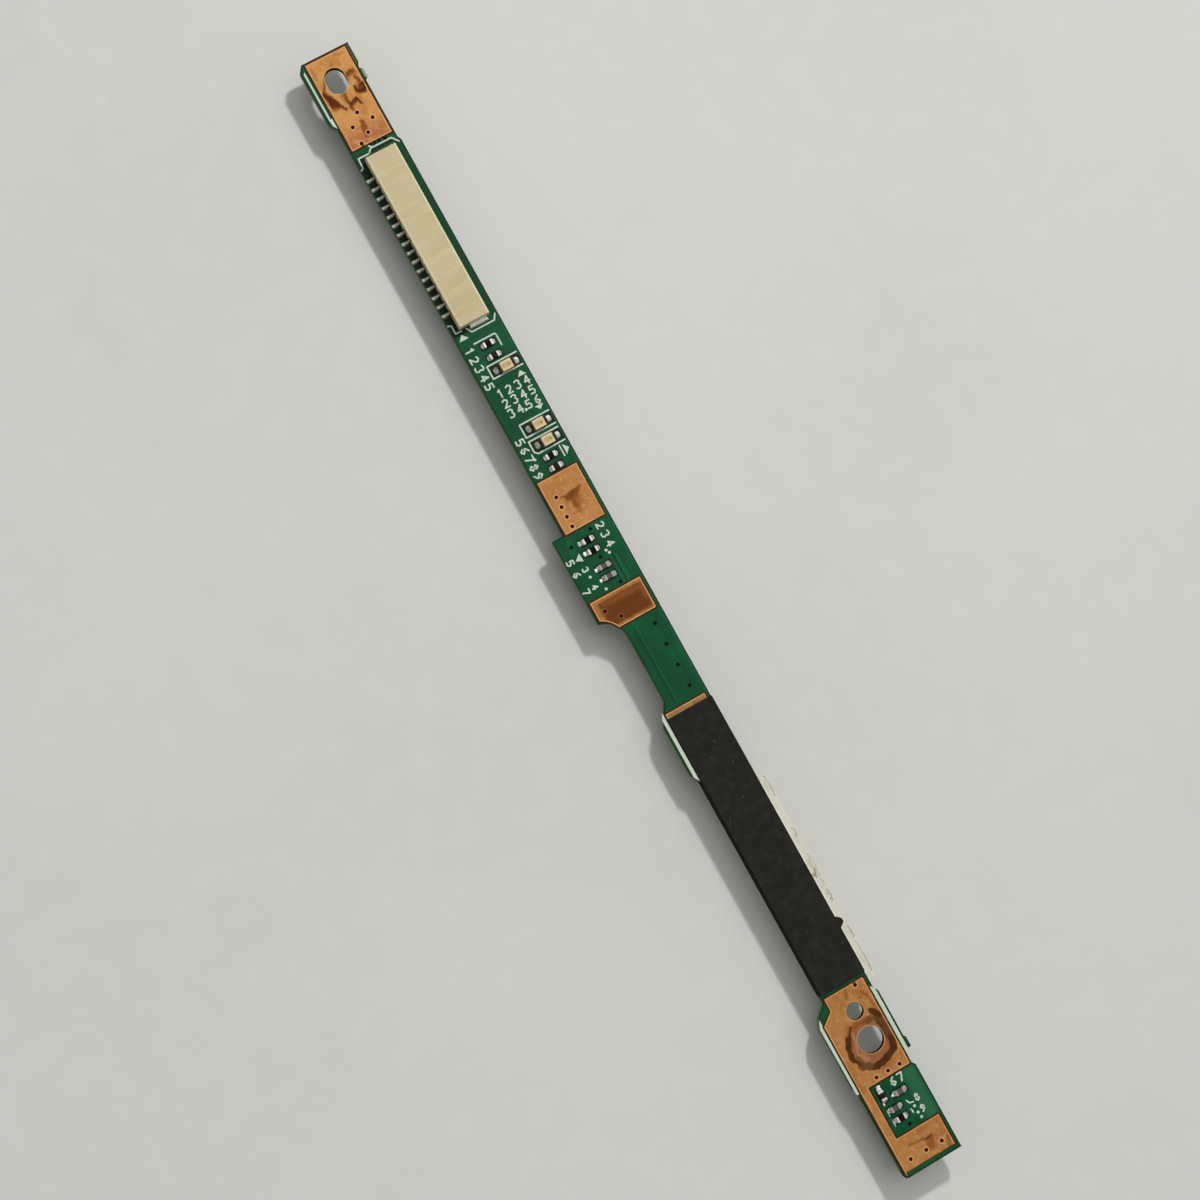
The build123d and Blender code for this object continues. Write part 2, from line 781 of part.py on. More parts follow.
# Regulator: three formed leads on one side and two on the other
regulator_plane = under_chip_plane(regulator_x, middle_y)
regulator_leads = ((-1, -1), (-1, 0), (-1, 1), (1, -1), (1, 1))
with BuildPart() as regulator:
    with BuildSketch(regulator_plane.offset(-(regulator_stand_off + regulator_height))):
        Rectangle(regulator_length, regulator_width)
    extrude(amount=regulator_height)
    chamfer(regulator.edges().group_by(Axis.Z)[0], regulator_chamfer)
    for side, step in regulator_leads:
        lead_side = Plane(
            regulator_plane.origin + Vector(step * lead_pitch, 0, 0), x_dir=(0, side, 0), z_dir=(side, 0, 0)
        )
        foot_level = -lead_thickness / 2
        with BuildLine(lead_side) as lead_line:
            FilletPolyline(
                (regulator_width / 2 - lead_thickness, -lead_height),
                (regulator_width / 2 + lead_thickness, -lead_height),
                (regulator_width / 2 + lead_reach / 2, foot_level),
                (regulator_width / 2 + lead_reach, foot_level),
                radius=lead_bend,
            )
        with BuildSketch(Plane(lead_line.line @ 0, x_dir=(1, 0, 0), z_dir=lead_line.line % 0)):
            Rectangle(lead_width, lead_thickness)
        sweep(path=lead_line.line)
write_part(regulator.part, "regulator")

for side, side_name in ((-1, "tail"), (1, "mating")):
    bypass_y = middle_y + side * bypass_spacing / 2
    bypass_plane = Plane(
        (datum_x + bypass_x, datum_y + bypass_y, stand_height), x_dir=(0, 1, 0), z_dir=(0, 0, -1)
    )
    make_chip(bypass_plane, f"bypass_capacitor_{side_name}")

# Microphones, each in a rubber boot that seals against the screen's frame
microphones = {
    "left": under_chip_plane(left_microphone_x, middle_y),
    "right": under_chip_plane(board_length - right_microphone_end_gap, end_block_y),
}
microphone_height = microphone_base + microphone_can
for side_name, microphone_plane in microphones.items():
    with BuildPart() as microphone:
        with BuildSketch(microphone_plane):
            Rectangle(microphone_length, microphone_width)
        extrude(amount=-microphone_base)
        with BuildSketch(microphone_plane.offset(-microphone_base)):
            Rectangle(
                microphone_length - 2 * microphone_can_inset, microphone_width - 2 * microphone_can_inset
            )
        extrude(amount=-microphone_can)
        fillet(microphone.edges().group_by(Axis.Z)[0], microphone_radius)
        with BuildSketch(microphone_plane.offset(-microphone_height)):
            Circle(microphone_port / 2)
        extrude(amount=microphone_can / 2, mode=Mode.SUBTRACT)
    write_part(microphone.part, f"microphone_{side_name}")

    with BuildPart() as boot:
        with BuildSketch(microphone_plane):
            RectangleRounded(boot_length, boot_width, boot_corner)
        extrude(amount=-(stand_height - boot_lip_height))
        with BuildSketch(microphone_plane.offset(-stand_height)):
            Circle(boot_lip_diameter / 2)
            Circle(boot_lip_diameter / 2 - boot_lip_width, mode=Mode.SUBTRACT)
        extrude(amount=boot_lip_height)
        with BuildSketch(microphone_plane):
            Rectangle(microphone_length + 2 * boot_clearance, microphone_width + 2 * boot_clearance)
        extrude(amount=-microphone_height, mode=Mode.SUBTRACT)
        with BuildSketch(microphone_plane):
            Circle(boot_port / 2)
        extrude(amount=-stand_height, mode=Mode.SUBTRACT)
    write_part(boot.part, f"microphone_boot_{side_name}")
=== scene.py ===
"""Looks of the laptop webcam board: finishes for the CAD pieces, solder, printed marks and stains.

Places are written in board millimetres: X from the connector end, Y across the board, Z from the table.
"""

import math
import random

import bmesh
import bpy
from mathutils import Matrix, Vector, noise


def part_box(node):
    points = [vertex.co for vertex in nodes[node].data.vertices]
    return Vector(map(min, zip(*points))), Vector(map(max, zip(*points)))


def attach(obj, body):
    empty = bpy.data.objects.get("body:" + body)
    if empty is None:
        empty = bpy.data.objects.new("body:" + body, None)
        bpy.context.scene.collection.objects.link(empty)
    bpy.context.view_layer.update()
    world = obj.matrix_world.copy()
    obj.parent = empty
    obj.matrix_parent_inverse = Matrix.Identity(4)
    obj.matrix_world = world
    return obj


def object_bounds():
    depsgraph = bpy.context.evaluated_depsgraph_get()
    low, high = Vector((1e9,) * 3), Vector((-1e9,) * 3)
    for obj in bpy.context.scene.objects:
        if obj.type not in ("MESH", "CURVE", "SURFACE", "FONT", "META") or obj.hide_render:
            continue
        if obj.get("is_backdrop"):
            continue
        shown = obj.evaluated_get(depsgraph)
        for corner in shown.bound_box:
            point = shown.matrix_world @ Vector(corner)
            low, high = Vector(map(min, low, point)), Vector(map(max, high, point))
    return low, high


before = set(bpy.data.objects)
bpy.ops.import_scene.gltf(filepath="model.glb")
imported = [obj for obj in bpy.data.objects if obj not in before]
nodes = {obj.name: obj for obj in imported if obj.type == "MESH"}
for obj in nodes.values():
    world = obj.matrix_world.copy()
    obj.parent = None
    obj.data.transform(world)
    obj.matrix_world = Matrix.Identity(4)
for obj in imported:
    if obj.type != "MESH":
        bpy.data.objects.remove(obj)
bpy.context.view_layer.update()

# The board's zero point in the frame and the heights of its faces, in millimetres
ZERO_X, ZERO_Y = -61.4, 0.4
TOP, LAND_TOP, UNDER = 3.8, 3.85, 3.0


def at(x, y, z):
    """A point in the frame, in metres, from board millimetres."""
    return Vector(((ZERO_X + x) / 1000, (ZERO_Y + y) / 1000, z / 1000))


def rgb(red, green, blue):
    """Linear colour from a screen colour of 0 to 255."""
    parts = [v / 255 for v in (red, green, blue)]
    return tuple(v / 12.92 if v <= 0.04045 else ((v + 0.055) / 1.055) ** 2.4 for v in parts) + (1.0,)


def middle(name):
    """Middle and size of a node's box in board millimetres: x, y, wide, deep."""
    low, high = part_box(name)
    x, y = (low.x + high.x) * 500 - ZERO_X, (low.y + high.y) * 500 - ZERO_Y
    return x, y, (high.x - low.x) * 1000, (high.y - low.y) * 1000


def named(*starts):
    """Names of the CAD nodes that begin with one of the starts, in order."""
    return sorted(name for name in nodes if name.startswith(starts))


class Finish:
    """One procedural material, painted in board millimetres."""

    def __init__(self, name, color, roughness, metallic=0.0, **settings):
        self.material = bpy.data.materials.new(name)
        self.material.use_nodes = True
        self.tree = self.material.node_tree
        self.shader = self.tree.nodes["Principled BSDF"]
        self.shader.inputs["Base Color"].default_value = color
        self.shader.inputs["Roughness"].default_value = roughness
        self.shader.inputs["Metallic"].default_value = metallic
        for key, value in settings.items():
            self.shader.inputs[key.replace("_", " ")].default_value = value
        self.color = color
        source = self.tree.nodes.new("ShaderNodeTexCoord").outputs["Object"]
        scaled = self.tree.nodes.new("ShaderNodeMapping")
        scaled.inputs["Scale"].default_value = (1000, 1000, 1000)
        scaled.inputs["Location"].default_value = (-ZERO_X, -ZERO_Y, 0)
        self.link(source, scaled.inputs["Vector"])
        self.place = scaled.outputs["Vector"]
        self.flat = self.vector("MULTIPLY", self.place, (1, 1, 0))

    def link(self, source, target):
        self.tree.links.new(source, target)

    def put(self, socket, value):
        """A constant or another socket into a socket."""
        if isinstance(value, bpy.types.NodeSocket):
            self.link(value, socket)
        else:
            socket.default_value = value

    def feed(self, setting, source):
        """Lets a setting of the shader follow a socket."""
        self.link(source, self.shader.inputs[setting])

    def part(self, source, axis):
        """One coordinate of a vector socket."""
        split = self.tree.nodes.new("ShaderNodeSeparateXYZ")
        self.link(source, split.inputs[0])
        return split.outputs[axis]

    def math(self, operation, first, second=0.0, third=0.0, clamp=False):
        node = self.tree.nodes.new("ShaderNodeMath")
        node.operation, node.use_clamp = operation, clamp
        for socket, value in zip(node.inputs, (first, second, third)):
            self.put(socket, value)
        return node.outputs[0]

    def vector(self, operation, first, second=(0, 0, 0)):
        node = self.tree.nodes.new("ShaderNodeVectorMath")
        node.operation = operation
        self.put(node.inputs[0], first)
        if operation == "SCALE":
            self.put(node.inputs["Scale"], second)
        else:
            self.put(node.inputs[1], second)
        return node.outputs["Value" if operation in ("DOT_PRODUCT", "LENGTH") else "Vector"]

    def cloud(self, scale, detail=3.0, stretch=(1, 1, 1), rough=0.5):
        """Noise from 0 to 1 with about scale lumps in each millimetre."""
        place = self.place if stretch == (1, 1, 1) else self.vector("MULTIPLY", self.place, stretch)
        node = self.tree.nodes.new("ShaderNodeTexNoise")
        self.link(place, node.inputs["Vector"])
        node.inputs["Scale"].default_value = scale
        node.inputs["Detail"].default_value = detail
        node.inputs["Roughness"].default_value = rough
        return node.outputs[0]

    def step(self, value, low, high):
        """0 below low and 1 above high, smooth between; low may be the larger one."""
        node = self.tree.nodes.new("ShaderNodeMapRange")
        node.interpolation_type = "SMOOTHSTEP"
        falling = low > high
        self.put(node.inputs["Value"], value)
        node.inputs["From Min"].default_value = min(low, high)
        node.inputs["From Max"].default_value = max(low, high)
        node.inputs["To Min"].default_value = 1.0 if falling else 0.0
        node.inputs["To Max"].default_value = 0.0 if falling else 1.0
        return node.outputs["Result"]

    def coat(self, mask, color, strength=1.0):
        """Paints a colour over what is there, by the mask times the strength."""
        if strength != 1.0:
            mask = self.math("MULTIPLY", mask, strength)
        node = self.tree.nodes.new("ShaderNodeMix")
        node.data_type = "RGBA"
        self.put(node.inputs["Factor"], mask)
        self.put(node.inputs[6], self.color)
        self.put(node.inputs[7], color)
        self.color = node.outputs[2]
        self.feed("Base Color", self.color)
        return self

    def mottle(self, scale, color, low=0.45, high=0.75, strength=1.0, **noise_settings):
        return self.coat(self.step(self.cloud(scale, **noise_settings), low, high), color, strength)

    def roughen(self, scale, low, high):
        """Roughness that wanders between two values."""
        node = self.tree.nodes.new("ShaderNodeMapRange")
        self.link(self.cloud(scale), node.inputs["Value"])
        node.inputs["To Min"].default_value = low
        node.inputs["To Max"].default_value = high
        self.feed("Roughness", node.outputs["Result"])
        return self

    def warped(self, amount=0.12, scale=2.2):
        """The place, shaken by noise, for ragged edges."""
        node = self.tree.nodes.new("ShaderNodeTexNoise")
        self.link(self.place, node.inputs["Vector"])
        node.inputs["Scale"].default_value = scale
        node.inputs["Detail"].default_value = 3
        shake = self.vector("SUBTRACT", node.outputs["Color"], (0.5, 0.5, 0.5))
        sideways = self.vector("MULTIPLY", shake, (amount * 4, amount * 4, 0))
        return self.vector("ADD", self.flat, sideways)

    def stroke(self, place, start, end, width, soft=0.08, radius=0.0):
        """Mask of a stroke from start to end, or of a ring round start if radius is given."""
        first, last = Vector((*start, 0)), Vector((*end, 0))
        away = self.vector("SUBTRACT", place, tuple(first))
        stretch = last - first
        if stretch.length > 1e-6:
            along = stretch / stretch.length_squared
            share = self.math("ADD", self.vector("DOT_PRODUCT", away, tuple(along)), 0.0, clamp=True)
            away = self.vector("SUBTRACT", away, self.vector("SCALE", tuple(stretch), share))
        reach = self.vector("LENGTH", away)
        if radius:
            reach = self.math("ABSOLUTE", self.math("SUBTRACT", reach, radius))
        return self.step(reach, width + soft, max(width - soft, 0.0))

    def patch(self, left, right, low, high, soft, place=None):
        """Mask of a rectangle with soft sides."""
        mask = 1.0
        for axis, first, last in (("X", left, right), ("Y", low, high)):
            value = self.part(place or self.place, axis)
            for edge, inside in ((first, first + soft), (last, last - soft)):
                mask = self.math("MULTIPLY", self.step(value, edge, inside), mask)
        return mask

    def strokes(self, rows, color, place=None, soft=0.08):
        """Paints rows of (x0, y0, x1, y1, half width, strength)."""
        place = place or self.flat
        for x0, y0, x1, y1, width, strength in rows:
            self.coat(self.stroke(place, (x0, y0), (x1, y1), width, soft), color, strength)
        return self

    def patches(self, rows, within=None):
        """Paints rows of (left, right, low, high, soft, color, strength), inside a mask if one is given."""
        for left, right, low, high, soft, color, strength in rows:
            mask = self.patch(left, right, low, high, soft)
            if within is not None:
                mask = self.math("MULTIPLY", mask, within)
            self.coat(mask, color, strength)
        return self

    def bump(self, height, strength=0.3, distance=0.05):
        """Relief from a height of 0 to 1; distance in millimetres."""
        node = self.tree.nodes.new("ShaderNodeBump")
        node.inputs["Strength"].default_value = strength
        node.inputs["Distance"].default_value = distance / 1000
        self.link(height, node.inputs["Height"])
        normal = self.shader.inputs["Normal"]
        if normal.is_linked:
            self.link(normal.links[0].from_socket, node.inputs["Normal"])
        self.link(node.outputs["Normal"], normal)
        return self

    def soften(self, radius):
        """Rounds the edges in the shading, by a radius in millimetres."""
        node = self.tree.nodes.new("ShaderNodeBevel")
        node.samples = 6
        node.inputs["Radius"].default_value = radius / 1000
        self.feed("Normal", node.outputs["Normal"])
        return self

    def generated(self, axis):
        """Share of the piece's own box along one axis."""
        return self.part(self.tree.nodes.new("ShaderNodeTexCoord").outputs["Generated"], axis)

    def ends(self, axis, start):
        """1 at both ends of the piece's own box, where its middle is 0 and its ends are 0.5."""
        away = self.math("ABSOLUTE", self.math("SUBTRACT", self.generated(axis), 0.5))
        return self.math("GREATER_THAN", away, start)

    def above(self, height):
        """1 above a height in millimetres, 0 below it."""
        return self.math("GREATER_THAN", self.part(self.place, "Z"), height)

    def facing(self):
        """Absolute upward part of the face's normal."""
        normal = self.tree.nodes.new("ShaderNodeNewGeometry").outputs["True Normal"]
        return self.math("ABSOLUTE", self.part(normal, "Z"))


def dress(names, finish):
    """Gives one CAD node or several a finish."""
    for name in [names] if isinstance(names, str) else names:
        nodes[name].data.materials.clear()
        nodes[name].data.materials.append(finish.material)


# ---- board

tape_black = rgb(14, 15, 12)
taped_stretch = (72.9, 103.3)
green_mask = Finish("solder_mask", rgb(3, 66, 36), 0.5, Specular_IOR_Level=0.1)
green_mask.mottle(0.35, rgb(5, 80, 46), 0.4, 0.7, 0.8).mottle(1.8, rgb(2, 54, 28), 0.5, 0.8, 0.5)
board_dark_lines = [
    (63.4, -1.0, 71.6, -1.0, 0.1, 0.55),
    (63.4, 1.45, 71.6, 1.45, 0.08, 0.35),
    (56.2, 0.72, 58.9, 0.72, 0.1, 0.7),
    (56.2, 1.36, 58.9, 1.36, 0.05, 0.5),
    (56.2, 0.18, 58.9, 0.18, 0.04, 0.4),
    (40.4, -0.2, 40.5, -2.2, 0.06, 0.4),
    (31.2, -1.2, 31.2, 1.6, 0.08, 0.3),
    (36.3, -1.3, 36.4, 0.9, 0.06, 0.35),
    (114.0, -1.2, 118.4, -1.2, 0.05, 0.3),
    (118.45, -2.3, 118.45, 1.9, 0.05, 0.4),
]
green_mask.strokes(board_dark_lines, rgb(3, 36, 19), soft=0.1)
# Painted shade: dark strips on the board at both ends of the connector housing, where its shadow falls
housing_shade_strips = [(10.52, -0.8, 10.52, 1.55, 0.1, 1.0), (30.4, -0.7, 30.4, 1.5, 0.08, 1.0)]
green_mask.strokes(housing_shade_strips, rgb(6, 16, 9))
board_pale_lines = [
    (56.2, 0.98, 58.9, 0.98, 0.12, 0.35),
    (56.2, 0.46, 58.9, 0.46, 0.09, 0.3),
    (11.4, 2.2, 103.0, 2.2, 0.06, 0.35),
    (63.4, -0.75, 71.6, -0.75, 0.06, 0.3),
    (53.2, -2.5, 54.2, -2.6, 0.35, 0.25),
]
green_mask.strokes(board_pale_lines, rgb(24, 104, 64))
board_tones_and_shade = [
    (113.0, 119.5, 0.3, 2.6, 0.9, rgb(36, 92, 60), 1.0),
    (10.6, 30.4, 1.7, 2.6, 0.1, rgb(2, 46, 22), 0.7),
    # Painted shade: the dark strip round the connector's tails, where the housing's shadow falls
    (10.4, 30.6, -2.75, -1.0, 0.35, rgb(8, 24, 13), 0.9),
    (-0.1, 2.4, 1.9, 2.4, 0.12, rgb(104, 98, 56), 0.6),
    (2.7, 4.4, 2.2, 2.8, 0.12, rgb(132, 146, 122), 0.9),
]
green_mask.patches(board_tones_and_shade, within=green_mask.above(UNDER + 0.1))
# Bare laminate on the side walls, darker in the holes
sideways = green_mask.step(green_mask.facing(), 0.6, 0.4)
green_mask.coat(sideways, rgb(112, 128, 92))
for x, y, reach in ((2.92, -0.42, 1.6), (106.25, -0.3, 1.05), (109.4, -0.3, 1.5)):
    near_hole = green_mask.patch(x - reach, x + reach, y - reach, y + reach, 0.01)
    green_mask.coat(near_hole, rgb(64, 40, 22), sideways)
green_mask.feed("Specular IOR Level", green_mask.math("MULTIPLY_ADD", sideways, -0.1, 0.1))
folded_tape = green_mask.patch(*taped_stretch, -3.0, -2.3, 0.01)
green_mask.coat(folded_tape, tape_black, green_mask.above(UNDER + 0.01))
green_mask.bump(green_mask.cloud(6.0), 0.15, 0.02)
dress("board", green_mask)

# ---- copper lands


def copper(name, base, tint):
    """Bare copper with the mottling that all the lands share."""
    finish = Finish(name, base, 0.55, 0.1, Specular_IOR_Level=0.05)
    finish.mottle(0.7, tint, 0.35, 0.7, 0.9).mottle(2.4, rgb(206, 154, 98), 0.48, 0.75, 0.45)
    finish.mottle(5.0, rgb(160, 102, 54), 0.55, 0.8, 0.3)
    finish.roughen(3.0, 0.48, 0.68)
    finish.bump(finish.cloud(3.0), 0.25, 0.03)
    return finish


end_copper = copper("copper_connector_end", rgb(188, 136, 78), rgb(172, 114, 57))
ragged = end_copper.warped(0.11, 2.0)
end_copper.strokes([(9.4, -2.2, 9.4, 1.9, 1.3, 0.85)], rgb(162, 100, 64), soft=1.1)
end_copper.mottle(1.6, rgb(206, 154, 102), 0.5, 0.75, 0.5)
end_amber_stains = [
    (7.55, -0.15, 9.0, -0.35, 0.2, 0.9),
    (8.0, -0.35, 8.7, -0.3, 0.2, 0.6),
    (4.4, -0.4, 6.0, -0.35, 0.2, 0.9),
    (5.6, -0.3, 6.5, -0.25, 0.12, 0.8),
    (4.5, -0.75, 5.3, -0.5, 0.2, 0.4),
    (3.3, 1.35, 4.2, 1.7, 0.15, 0.85),
    (2.75, 1.45, 2.85, 0.8, 0.3, 0.85),
    (4.4, 1.5, 4.6, 1.2, 0.5, 0.7),
    (3.7, -2.1, 5.3, -1.75, 0.3, 0.9),
    (4.3, -1.75, 5.4, -1.2, 0.25, 0.7),
    (0.9, -2.1, 1.9, -2.0, 0.12, 0.4),
    (1.1, 0.0, 1.5, -0.2, 0.14, 0.4),
    (0.5, 0.6, 0.8, 1.4, 0.14, 0.35),
]
end_copper.strokes(end_amber_stains, rgb(120, 64, 22), ragged, 0.15)
end_brown_stains = [
    (4.3, 1.85, 4.95, 1.6, 0.2, 0.95),
    (4.3, 1.7, 4.35, 1.45, 0.2, 0.85),
    (4.9, 1.55, 4.75, 1.05, 0.27, 0.95),
    (4.65, 0.95, 4.1, 0.86, 0.12, 0.95),
    (3.4, 1.4, 3.9, 1.65, 0.08, 0.6),
    (2.7, 1.35, 2.75, 0.9, 0.14, 0.5),
    (5.3, 0.45, 5.85, 0.72, 0.15, 0.9),
    (5.35, 0.4, 5.6, -0.1, 0.2, 0.9),
    (4.9, -0.4, 5.9, -0.35, 0.1, 0.6),
    (3.6, -2.1, 5.0, -1.95, 0.15, 0.95),
    (4.2, -1.8, 5.0, -1.5, 0.3, 0.9),
    (5.0, -1.35, 5.8, -0.9, 0.14, 0.9),
    (2.2, -1.35, 3.4, -2.0, 0.09, 0.85),
    (2.4, 0.62, 3.4, 0.72, 0.08, 0.75),
    (7.6, 0.0, 8.5, 0.05, 0.07, 0.5),
]
end_copper.strokes(end_brown_stains, rgb(78, 34, 5), ragged, 0.1)
dress("connector_end_land", end_copper)

centre_copper = copper("copper_centre", rgb(175, 124, 73), rgb(164, 111, 60))
ragged = centre_copper.warped(0.07, 2.0)
centre_light_stains = [
    (49.2, 0.2, 50.3, 0.0, 0.42, 0.85),
    (50.2, 0.0, 50.95, 0.0, 0.2, 0.7),
    (50.95, 0.85, 50.9, -0.75, 0.07, 0.45),
    (49.2, 0.75, 50.2, 0.6, 0.2, 0.35),
    (49.2, -0.8, 50.4, -0.85, 0.12, 0.35),
    (47.4, 0.1, 47.8, -0.1, 0.12, 0.3),
]
centre_copper.strokes(centre_light_stains, rgb(142, 84, 36), ragged, 0.16)
centre_dark_stains = [
    (48.8, 1.15, 48.85, 0.4, 0.12, 0.85),
    (48.95, 0.6, 49.1, -0.5, 0.24, 0.9),
    (49.2, 0.05, 49.35, -0.45, 0.26, 0.85),
    (49.3, -0.1, 50.3, -0.05, 0.16, 0.7),
    (49.0, -0.7, 48.85, -1.15, 0.08, 0.7),
    (48.95, 1.0, 49.5, 0.3, 0.1, 0.7),
]
centre_copper.strokes(centre_dark_stains, rgb(112, 62, 26), ragged, 0.12)
dress("centre_land", centre_copper)

camera_bare = rgb(164, 110, 62)
camera_copper = copper("copper_camera", camera_bare, rgb(150, 94, 46))
ragged = camera_copper.warped(0.09, 2.0)
camera_copper.coat(camera_copper.patch(59.45, 62.6, -3.2, 2.05, 0.45, ragged), rgb(100, 55, 24))
for rows, color in (
    ([(60.1, 1.5, 60.05, -2.4, 0.25, 0.6), (60.4, 1.6, 61.2, 1.6, 0.2, 0.5)], rgb(130, 80, 40)),
    ([(60.9, 0.7, 61.1, -1.6, 0.3, 0.4), (61.9, 1.2, 62.0, -0.9, 0.2, 0.4)], rgb(90, 48, 18)),
):
    camera_copper.strokes(rows, color, ragged, 0.25)
camera_copper.strokes([(62.8, -2.3, 61.3, -3.6, 0.25, 1.0)], camera_bare, ragged, 0.2)
dress("camera_land", camera_copper)

taped_copper = copper("copper_taped", rgb(146, 112, 76), rgb(124, 90, 58))
dress("taped_land", taped_copper)

screw_copper = copper("copper_screw_end", rgb(168, 117, 67), rgb(154, 100, 50))
ragged = screw_copper.warped(0.11, 1.8)
worn = screw_copper.stroke(ragged, (109.4, -0.3), (109.4, -0.3), 0.4, 0.25, 1.75)
screw_copper.coat(worn, rgb(134, 86, 56), 0.9)
screw_light_stains = [
    (104.9, 1.2, 105.5, 1.5, 0.12, 0.7),
    (105.5, 1.5, 107.0, 1.6, 0.1, 0.7),
    (104.1, -0.15, 104.8, -0.45, 0.22, 0.7),
    (105.3, 0.75, 105.35, 0.78, 0.1, 0.8),
    (107.5, -0.2, 107.5, -1.1, 0.28, 0.7),
    (112.4, -0.3, 112.7, -0.9, 0.2, 0.4),
    (119.5, -0.9, 119.4, 0.4, 0.18, 0.3),
    (120.5, 0.1, 121.2, -0.2, 0.4, 0.8),
    (120.6, 0.9, 120.5, 0.4, 0.3, 0.35),
    (121.3, 1.7, 122.1, 1.5, 0.22, 0.7),
    (120.25, -0.6, 120.15, -2.0, 0.1, 0.8),
    (107.5, -1.6, 108.4, -2.2, 0.3, 0.5),
    (112.1, -1.4, 112.3, 0.4, 0.25, 0.4),
]
screw_copper.strokes(screw_light_stains, rgb(126, 72, 30), ragged, 0.15)
screw_ring_stains = [
    (107.9, 1.4, 110.2, 1.55, 0.42, 0.95),
    (107.55, 1.1, 107.7, 0.3, 0.3, 0.7),
    (111.75, -1.4, 111.2, -2.3, 0.4, 0.9),
    (110.9, -2.2, 110.4, -2.4, 0.3, 0.7),
]
screw_copper.strokes(screw_ring_stains, rgb(88, 56, 30), ragged, 0.12)
screw_dark_stains = [
    (107.0, 1.1, 107.7, 1.6, 0.3, 0.95),
    (108.3, 1.15, 108.8, 1.25, 0.14, 0.7),
    (110.3, 1.6, 111.2, 1.3, 0.36, 0.95),
    (111.3, 1.15, 111.75, 0.2, 0.36, 0.95),
    (111.75, 0.2, 111.9, -0.9, 0.36, 0.95),
    (112.0, -0.8, 112.05, -1.4, 0.2, 0.8),
    (107.4, -1.5, 108.3, -2.1, 0.1, 0.95),
    (108.3, -2.2, 109.0, -2.6, 0.3, 0.95),
    (109.0, -2.65, 110.3, -2.8, 0.3, 0.95),
    (110.3, -2.75, 110.8, -2.4, 0.14, 0.8),
    (120.3, 0.3, 120.4, -0.4, 0.14, 0.6),
]
screw_copper.strokes(screw_dark_stains, rgb(72, 38, 12), ragged)
worn_bright = [(108.0, -1.55, 110.1, -2.1, 0.1, 0.8), (110.3, -1.85, 110.9, -1.5, 0.2, 0.8)]
screw_copper.strokes(worn_bright, rgb(170, 116, 82), ragged)
dress("screw_end_land", screw_copper)

# ---- connector

nylon = Finish("connector_nylon", rgb(188, 175, 138), 0.55, Specular_IOR_Level=0.25)
nylon.mottle(0.5, rgb(180, 164, 124), 0.4, 0.7, 0.8, stretch=(1.0, 0.25, 1.0))
nylon.mottle(1.6, rgb(200, 190, 152), 0.5, 0.75, 0.5, stretch=(1.0, 0.15, 1.0))
# Painted highlights along the housing's mating and rear edges
housing_edge_highlights = [(11.1, 1.4, 30.0, 1.4, 0.07, 0.8), (11.1, -1.62, 30.0, -1.62, 0.06, 0.4)]
nylon.strokes(housing_edge_highlights, rgb(212, 214, 178), soft=0.06)
# Painted shade inside the contact slots and on the rear wall below the housing's roof
shade_below_roof = nylon.math("SUBTRACT", 1.0, nylon.above(4.9))
nylon.coat(nylon.patch(12.4, 28.8, -1.77, -0.9, 0.02), rgb(56, 48, 32), shade_below_roof)
nylon.soften(0.07).bump(nylon.cloud(9.0), 0.12, 0.02)
dress("connector_housing", nylon)

tin = Finish("tinned_metal", rgb(204, 204, 196), 0.4, 0.5)
tin.mottle(3.0, rgb(168, 168, 158), 0.45, 0.8, 0.6)
# Painted shade darkens the left tab
tin.coat(tin.patch(9.0, 12.0, -2.0, 1.2, 0.05), rgb(44, 43, 35))
tin.soften(0.04)
dress(named("connector_tab_"), tin)
contact_tin = Finish("contact_tin", rgb(158, 156, 144), 0.45, 0.4, Specular_IOR_Level=0.3)
contact_tin.mottle(3.0, rgb(122, 118, 104), 0.45, 0.8, 0.7)
# Painted shade on the contacts where they leave the housing
contact_tin.coat(contact_tin.patch(10.0, 31.0, -1.95, -1.1, 0.25), rgb(120, 112, 90))
contact_tin.soften(0.04)
dress(named("contact_"), contact_tin)

# ---- solder, chips and lamps


def solder_finish(name, color):
    """Lumpy solder that mirrors the bright room softly."""
    finish = Finish(name, color, 0.4, 0.7, Specular_IOR_Level=0.4)
    finish.mottle(3.4, rgb(96, 100, 88), 0.42, 0.7, 0.85).roughen(4.0, 0.3, 0.55)
    finish.bump(finish.cloud(5.0), 0.3, 0.03)
    return finish


solder = solder_finish("solder", rgb(210, 213, 205))
dull_solder = solder_finish("dull_solder", rgb(146, 150, 140))


def chip_finish(name, body, axis, end=rgb(196, 198, 190)):
    """Chip body with metal at both ends of one axis of its box."""
    finish = Finish(name, body, 0.5, Specular_IOR_Level=0.04)
    metal = finish.ends(axis, 0.285)
    finish.coat(metal, end)
    finish.mottle(3.0, rgb(16, 16, 14), 0.6, 0.9, 0.5)
    finish.feed("Metallic", finish.math("MULTIPLY", metal, 0.35))
    finish.soften(0.05)
    return finish


resistor = chip_finish("resistor_body", rgb(9, 9, 7), "Y")
capacitor = chip_finish("capacitor_body", rgb(84, 83, 75), "Y", rgb(148, 152, 140))
dark_capacitor = chip_finish("dark_capacitor_body", rgb(34, 28, 20), "Y", rgb(184, 188, 178))
bead = chip_finish("bead_body", rgb(30, 30, 22), "X")
dress(named("resistor_"), resistor)
dress(named("capacitor_lamp_"), dark_capacitor)
dress(named("capacitor_camera_", "capacitor_end_", "bypass_capacitor_"), capacitor)
dress("bead_end", bead)

